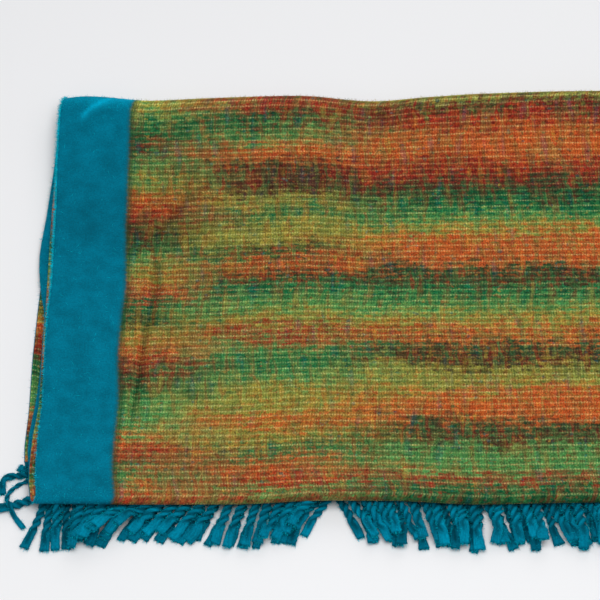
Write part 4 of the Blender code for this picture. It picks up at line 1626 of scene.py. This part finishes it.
@functools.lru_cache(maxsize=1)
def finishes():
    """All materials of the blanket, made once."""
    sizes = bpy.context.scene.blanket_sizes
    colours = bpy.context.scene.blanket_colours
    groups = {"weave": weave_group(sizes, colours), "felt": felt_group()}
    return {
        "face": cloth_material("woven_wool_face", groups, sizes, colours, True),
        "back": cloth_material("woven_wool_back", groups, sizes, colours, False),
        "fibres": cloth_material("woven_wool_fibres", groups, sizes, colours, True, True),
        "yarn": yarn_material(groups, colours),
        "teal_fibres": fibre_material(groups, colours),
    }


def need_frame(context):
    """The blanket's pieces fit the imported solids, so those have to be there."""
    missing = {"blanket_cloth", "fringe_lower", "fringe_upper"} - set(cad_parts)
    if missing:
        raise RuntimeError(f"the packed frame lacks {sorted(missing)}")
    return context.scene.blanket_sizes


class BLANKET_OT_cloth(bpy.types.Operator):
    """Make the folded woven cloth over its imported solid"""

    bl_idname = "blanket.cloth"
    bl_label = "Folded cloth"

    def execute(self, context):
        """Make the cloth, and hide the solid that it stands for."""
        sizes = need_frame(context)
        cloth = make_cloth(sizes)
        cloth.data.materials.append(finishes()["face"])
        cloth.data.materials.append(finishes()["back"])
        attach(cloth, "root")
        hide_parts("blanket_cloth")
        return {"FINISHED"}


class BLANKET_OT_fringes(bpy.types.Operator):
    """Make the two fringes, their strands laid over each other in front of the fold"""

    bl_idname = "blanket.fringes"
    bl_label = "Fringes"

    def execute(self, context):
        """Make both fringes, and hide the solids that they stand for."""
        sizes = need_frame(context)
        for row in FRINGES:
            fringe = make_fringe(row, sizes)
            fringe.data.materials.append(finishes()["yarn"])
            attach(fringe, "root")
            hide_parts(f"fringe_{row}")
        return {"FINISHED"}


class BLANKET_OT_fibres(bpy.types.Operator):
    """Make the loose fibres on the cloth and on the fringes"""

    bl_idname = "blanket.fibres"
    bl_label = "Loose fibres"

    def execute(self, context):
        """Make both sets of loose fibres."""
        sizes = need_frame(context)
        on_weave = make_cloth_fibres(sizes)
        on_weave.data.materials.append(finishes()["fibres"])
        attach(on_weave, "root")
        on_fringe = make_fringe_fibres(sizes)
        on_fringe.data.materials.append(finishes()["teal_fibres"])
        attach(on_fringe, "root")
        return {"FINISHED"}


class BLANKET_OT_declare(bpy.types.Operator):
    """A step that does nothing"""

    bl_idname = "blanket.declare"
    bl_label = "Flat size"

    def execute(self, context):
        return {"FINISHED"}


def make_floor(studio):
    """A wide plain floor with a faint unevenness."""
    corners = np.array([(-1, -1, 0), (1, -1, 0), (1, 1, 0), (-1, 1, 0)]) * FLOOR_REACH
    floor = new_mesh("studio_floor", corners, [[0, 1, 2, 3]], smooth=False)
    made, board, shader = new_material("studio_paper", 0.0)
    place = board.put("ShaderNodeTexCoord", out=3)
    cloud = board.noise(place, 1.3, 2.0)
    low = tuple(0.97 * value for value in studio.floor_colour[:3]) + (1.0,)
    colour = board.mix(cloud, low, tuple(studio.floor_colour))
    board.fill(shader, {"Base Color": colour, "Roughness": 0.6})
    floor.data.materials.append(made)
    return floor


def make_light(name, place, aim, size, power):
    """A square soft light aimed at a point."""
    data = bpy.data.lights.new(name, "AREA")
    data.shape = "SQUARE"
    data.size = size
    data.energy = power
    light = bpy.data.objects.new(name, data)
    light.location = place
    light.rotation_mode = "QUATERNION"
    light.rotation_quaternion = (Vector(aim) - Vector(place)).to_track_quat("-Z", "Y")
    bpy.context.scene.collection.objects.link(light)
    return light


def make_air(studio):
    """Even, slightly cool light from all round."""
    world = bpy.data.worlds.new("studio_air")
    world.use_nodes = True
    air = world.node_tree.nodes["Background"]
    air.inputs[0].default_value = (0.97, 0.98, 1.0, 1.0)
    air.inputs[1].default_value = studio.fill_strength
    bpy.context.scene.world = world


def make_camera(studio, aim):
    """The camera, above and in front of the point that it looks at."""
    data = bpy.data.cameras.new("camera")
    data.sensor_width = 36.0
    data.lens = data.sensor_width / 2.0 / math.tan(studio.view_angle / 2.0)
    data.clip_end = 50.0
    camera = bpy.data.objects.new("camera", data)
    back = Vector((0.0, -math.cos(studio.elevation), math.sin(studio.elevation)))
    camera.location = aim + back * studio.distance
    camera.rotation_mode = "QUATERNION"
    camera.rotation_quaternion = (-back).to_track_quat("-Z", "Y")
    bpy.context.scene.collection.objects.link(camera)
    bpy.context.scene.camera = camera


class BLANKET_OT_studio(bpy.types.Operator):
    """Set the plain floor, the soft lights and the camera"""

    bl_idname = "blanket.studio"
    bl_label = "Studio"

    def execute(self, context):
        """Set everything that isn't the blanket."""
        sizes = need_frame(context)
        studio = context.scene.studio_settings
        make_floor(studio)
        aim = Vector((studio.aim_x, studio.aim_y, AIM_HEIGHT)) + shift_to_frame(sizes)
        make_light("key_light", aim + Vector(KEY_LIGHT_PLACE), aim, KEY_LIGHT_SIZE,
                   studio.key_power)
        make_light("rear_light", aim + Vector(REAR_LIGHT_PLACE), aim, REAR_LIGHT_SIZE,
                   studio.rear_power)
        make_air(studio)
        context.scene.view_settings.view_transform = "Standard"
        make_camera(studio, aim)
        return {"FINISHED"}


class BLANKET_PT_sidebar(bpy.types.Panel):
    """The blanket's sizes, colours and pieces"""

    bl_idname = "BLANKET_PT_sidebar"
    bl_label = "Wool blanket"
    bl_space_type = "VIEW_3D"
    bl_region_type = "UI"
    bl_category = "Blanket"

    def draw(self, context):
        """Show each step as a button and each group of settings in a box."""
        layout = self.layout
        for operator in STEPS:
            layout.operator(operator.bl_idname)
        for name in GROUPS:
            box = layout.box()
            for key in getattr(context.scene, name).bl_rna.properties.keys():
                if key not in ("rna_type", "name"):
                    box.prop(getattr(context.scene, name), key)


STEPS = (BLANKET_OT_cloth, BLANKET_OT_fringes, BLANKET_OT_fibres, BLANKET_OT_declare,
         BLANKET_OT_studio)
GROUPS = {
    "blanket_sizes": BlanketSizes,
    "blanket_colours": BlanketColours,
    "studio_settings": StudioSettings,
}
CLASSES = (*GROUPS.values(), *STEPS, BLANKET_PT_sidebar)


def register():
    """Make the classes known, and give each scene their settings."""
    for made in CLASSES:
        bpy.utils.register_class(made)
    for name, kind in GROUPS.items():
        setattr(bpy.types.Scene, name, bpy.props.PointerProperty(type=kind))


def unregister():
    """Take the settings and the classes away again."""
    for name in GROUPS:
        delattr(bpy.types.Scene, name)
    for made in reversed(CLASSES):
        bpy.utils.unregister_class(made)


def main():
    """Make the whole blanket and its studio, step by step."""
    register()
    bpy.ops.blanket.cloth()
    bpy.ops.blanket.fringes()
    bpy.ops.blanket.fibres()
    bpy.ops.blanket.declare()
    bpy.ops.blanket.studio()


if __name__ == "__main__":
    main()
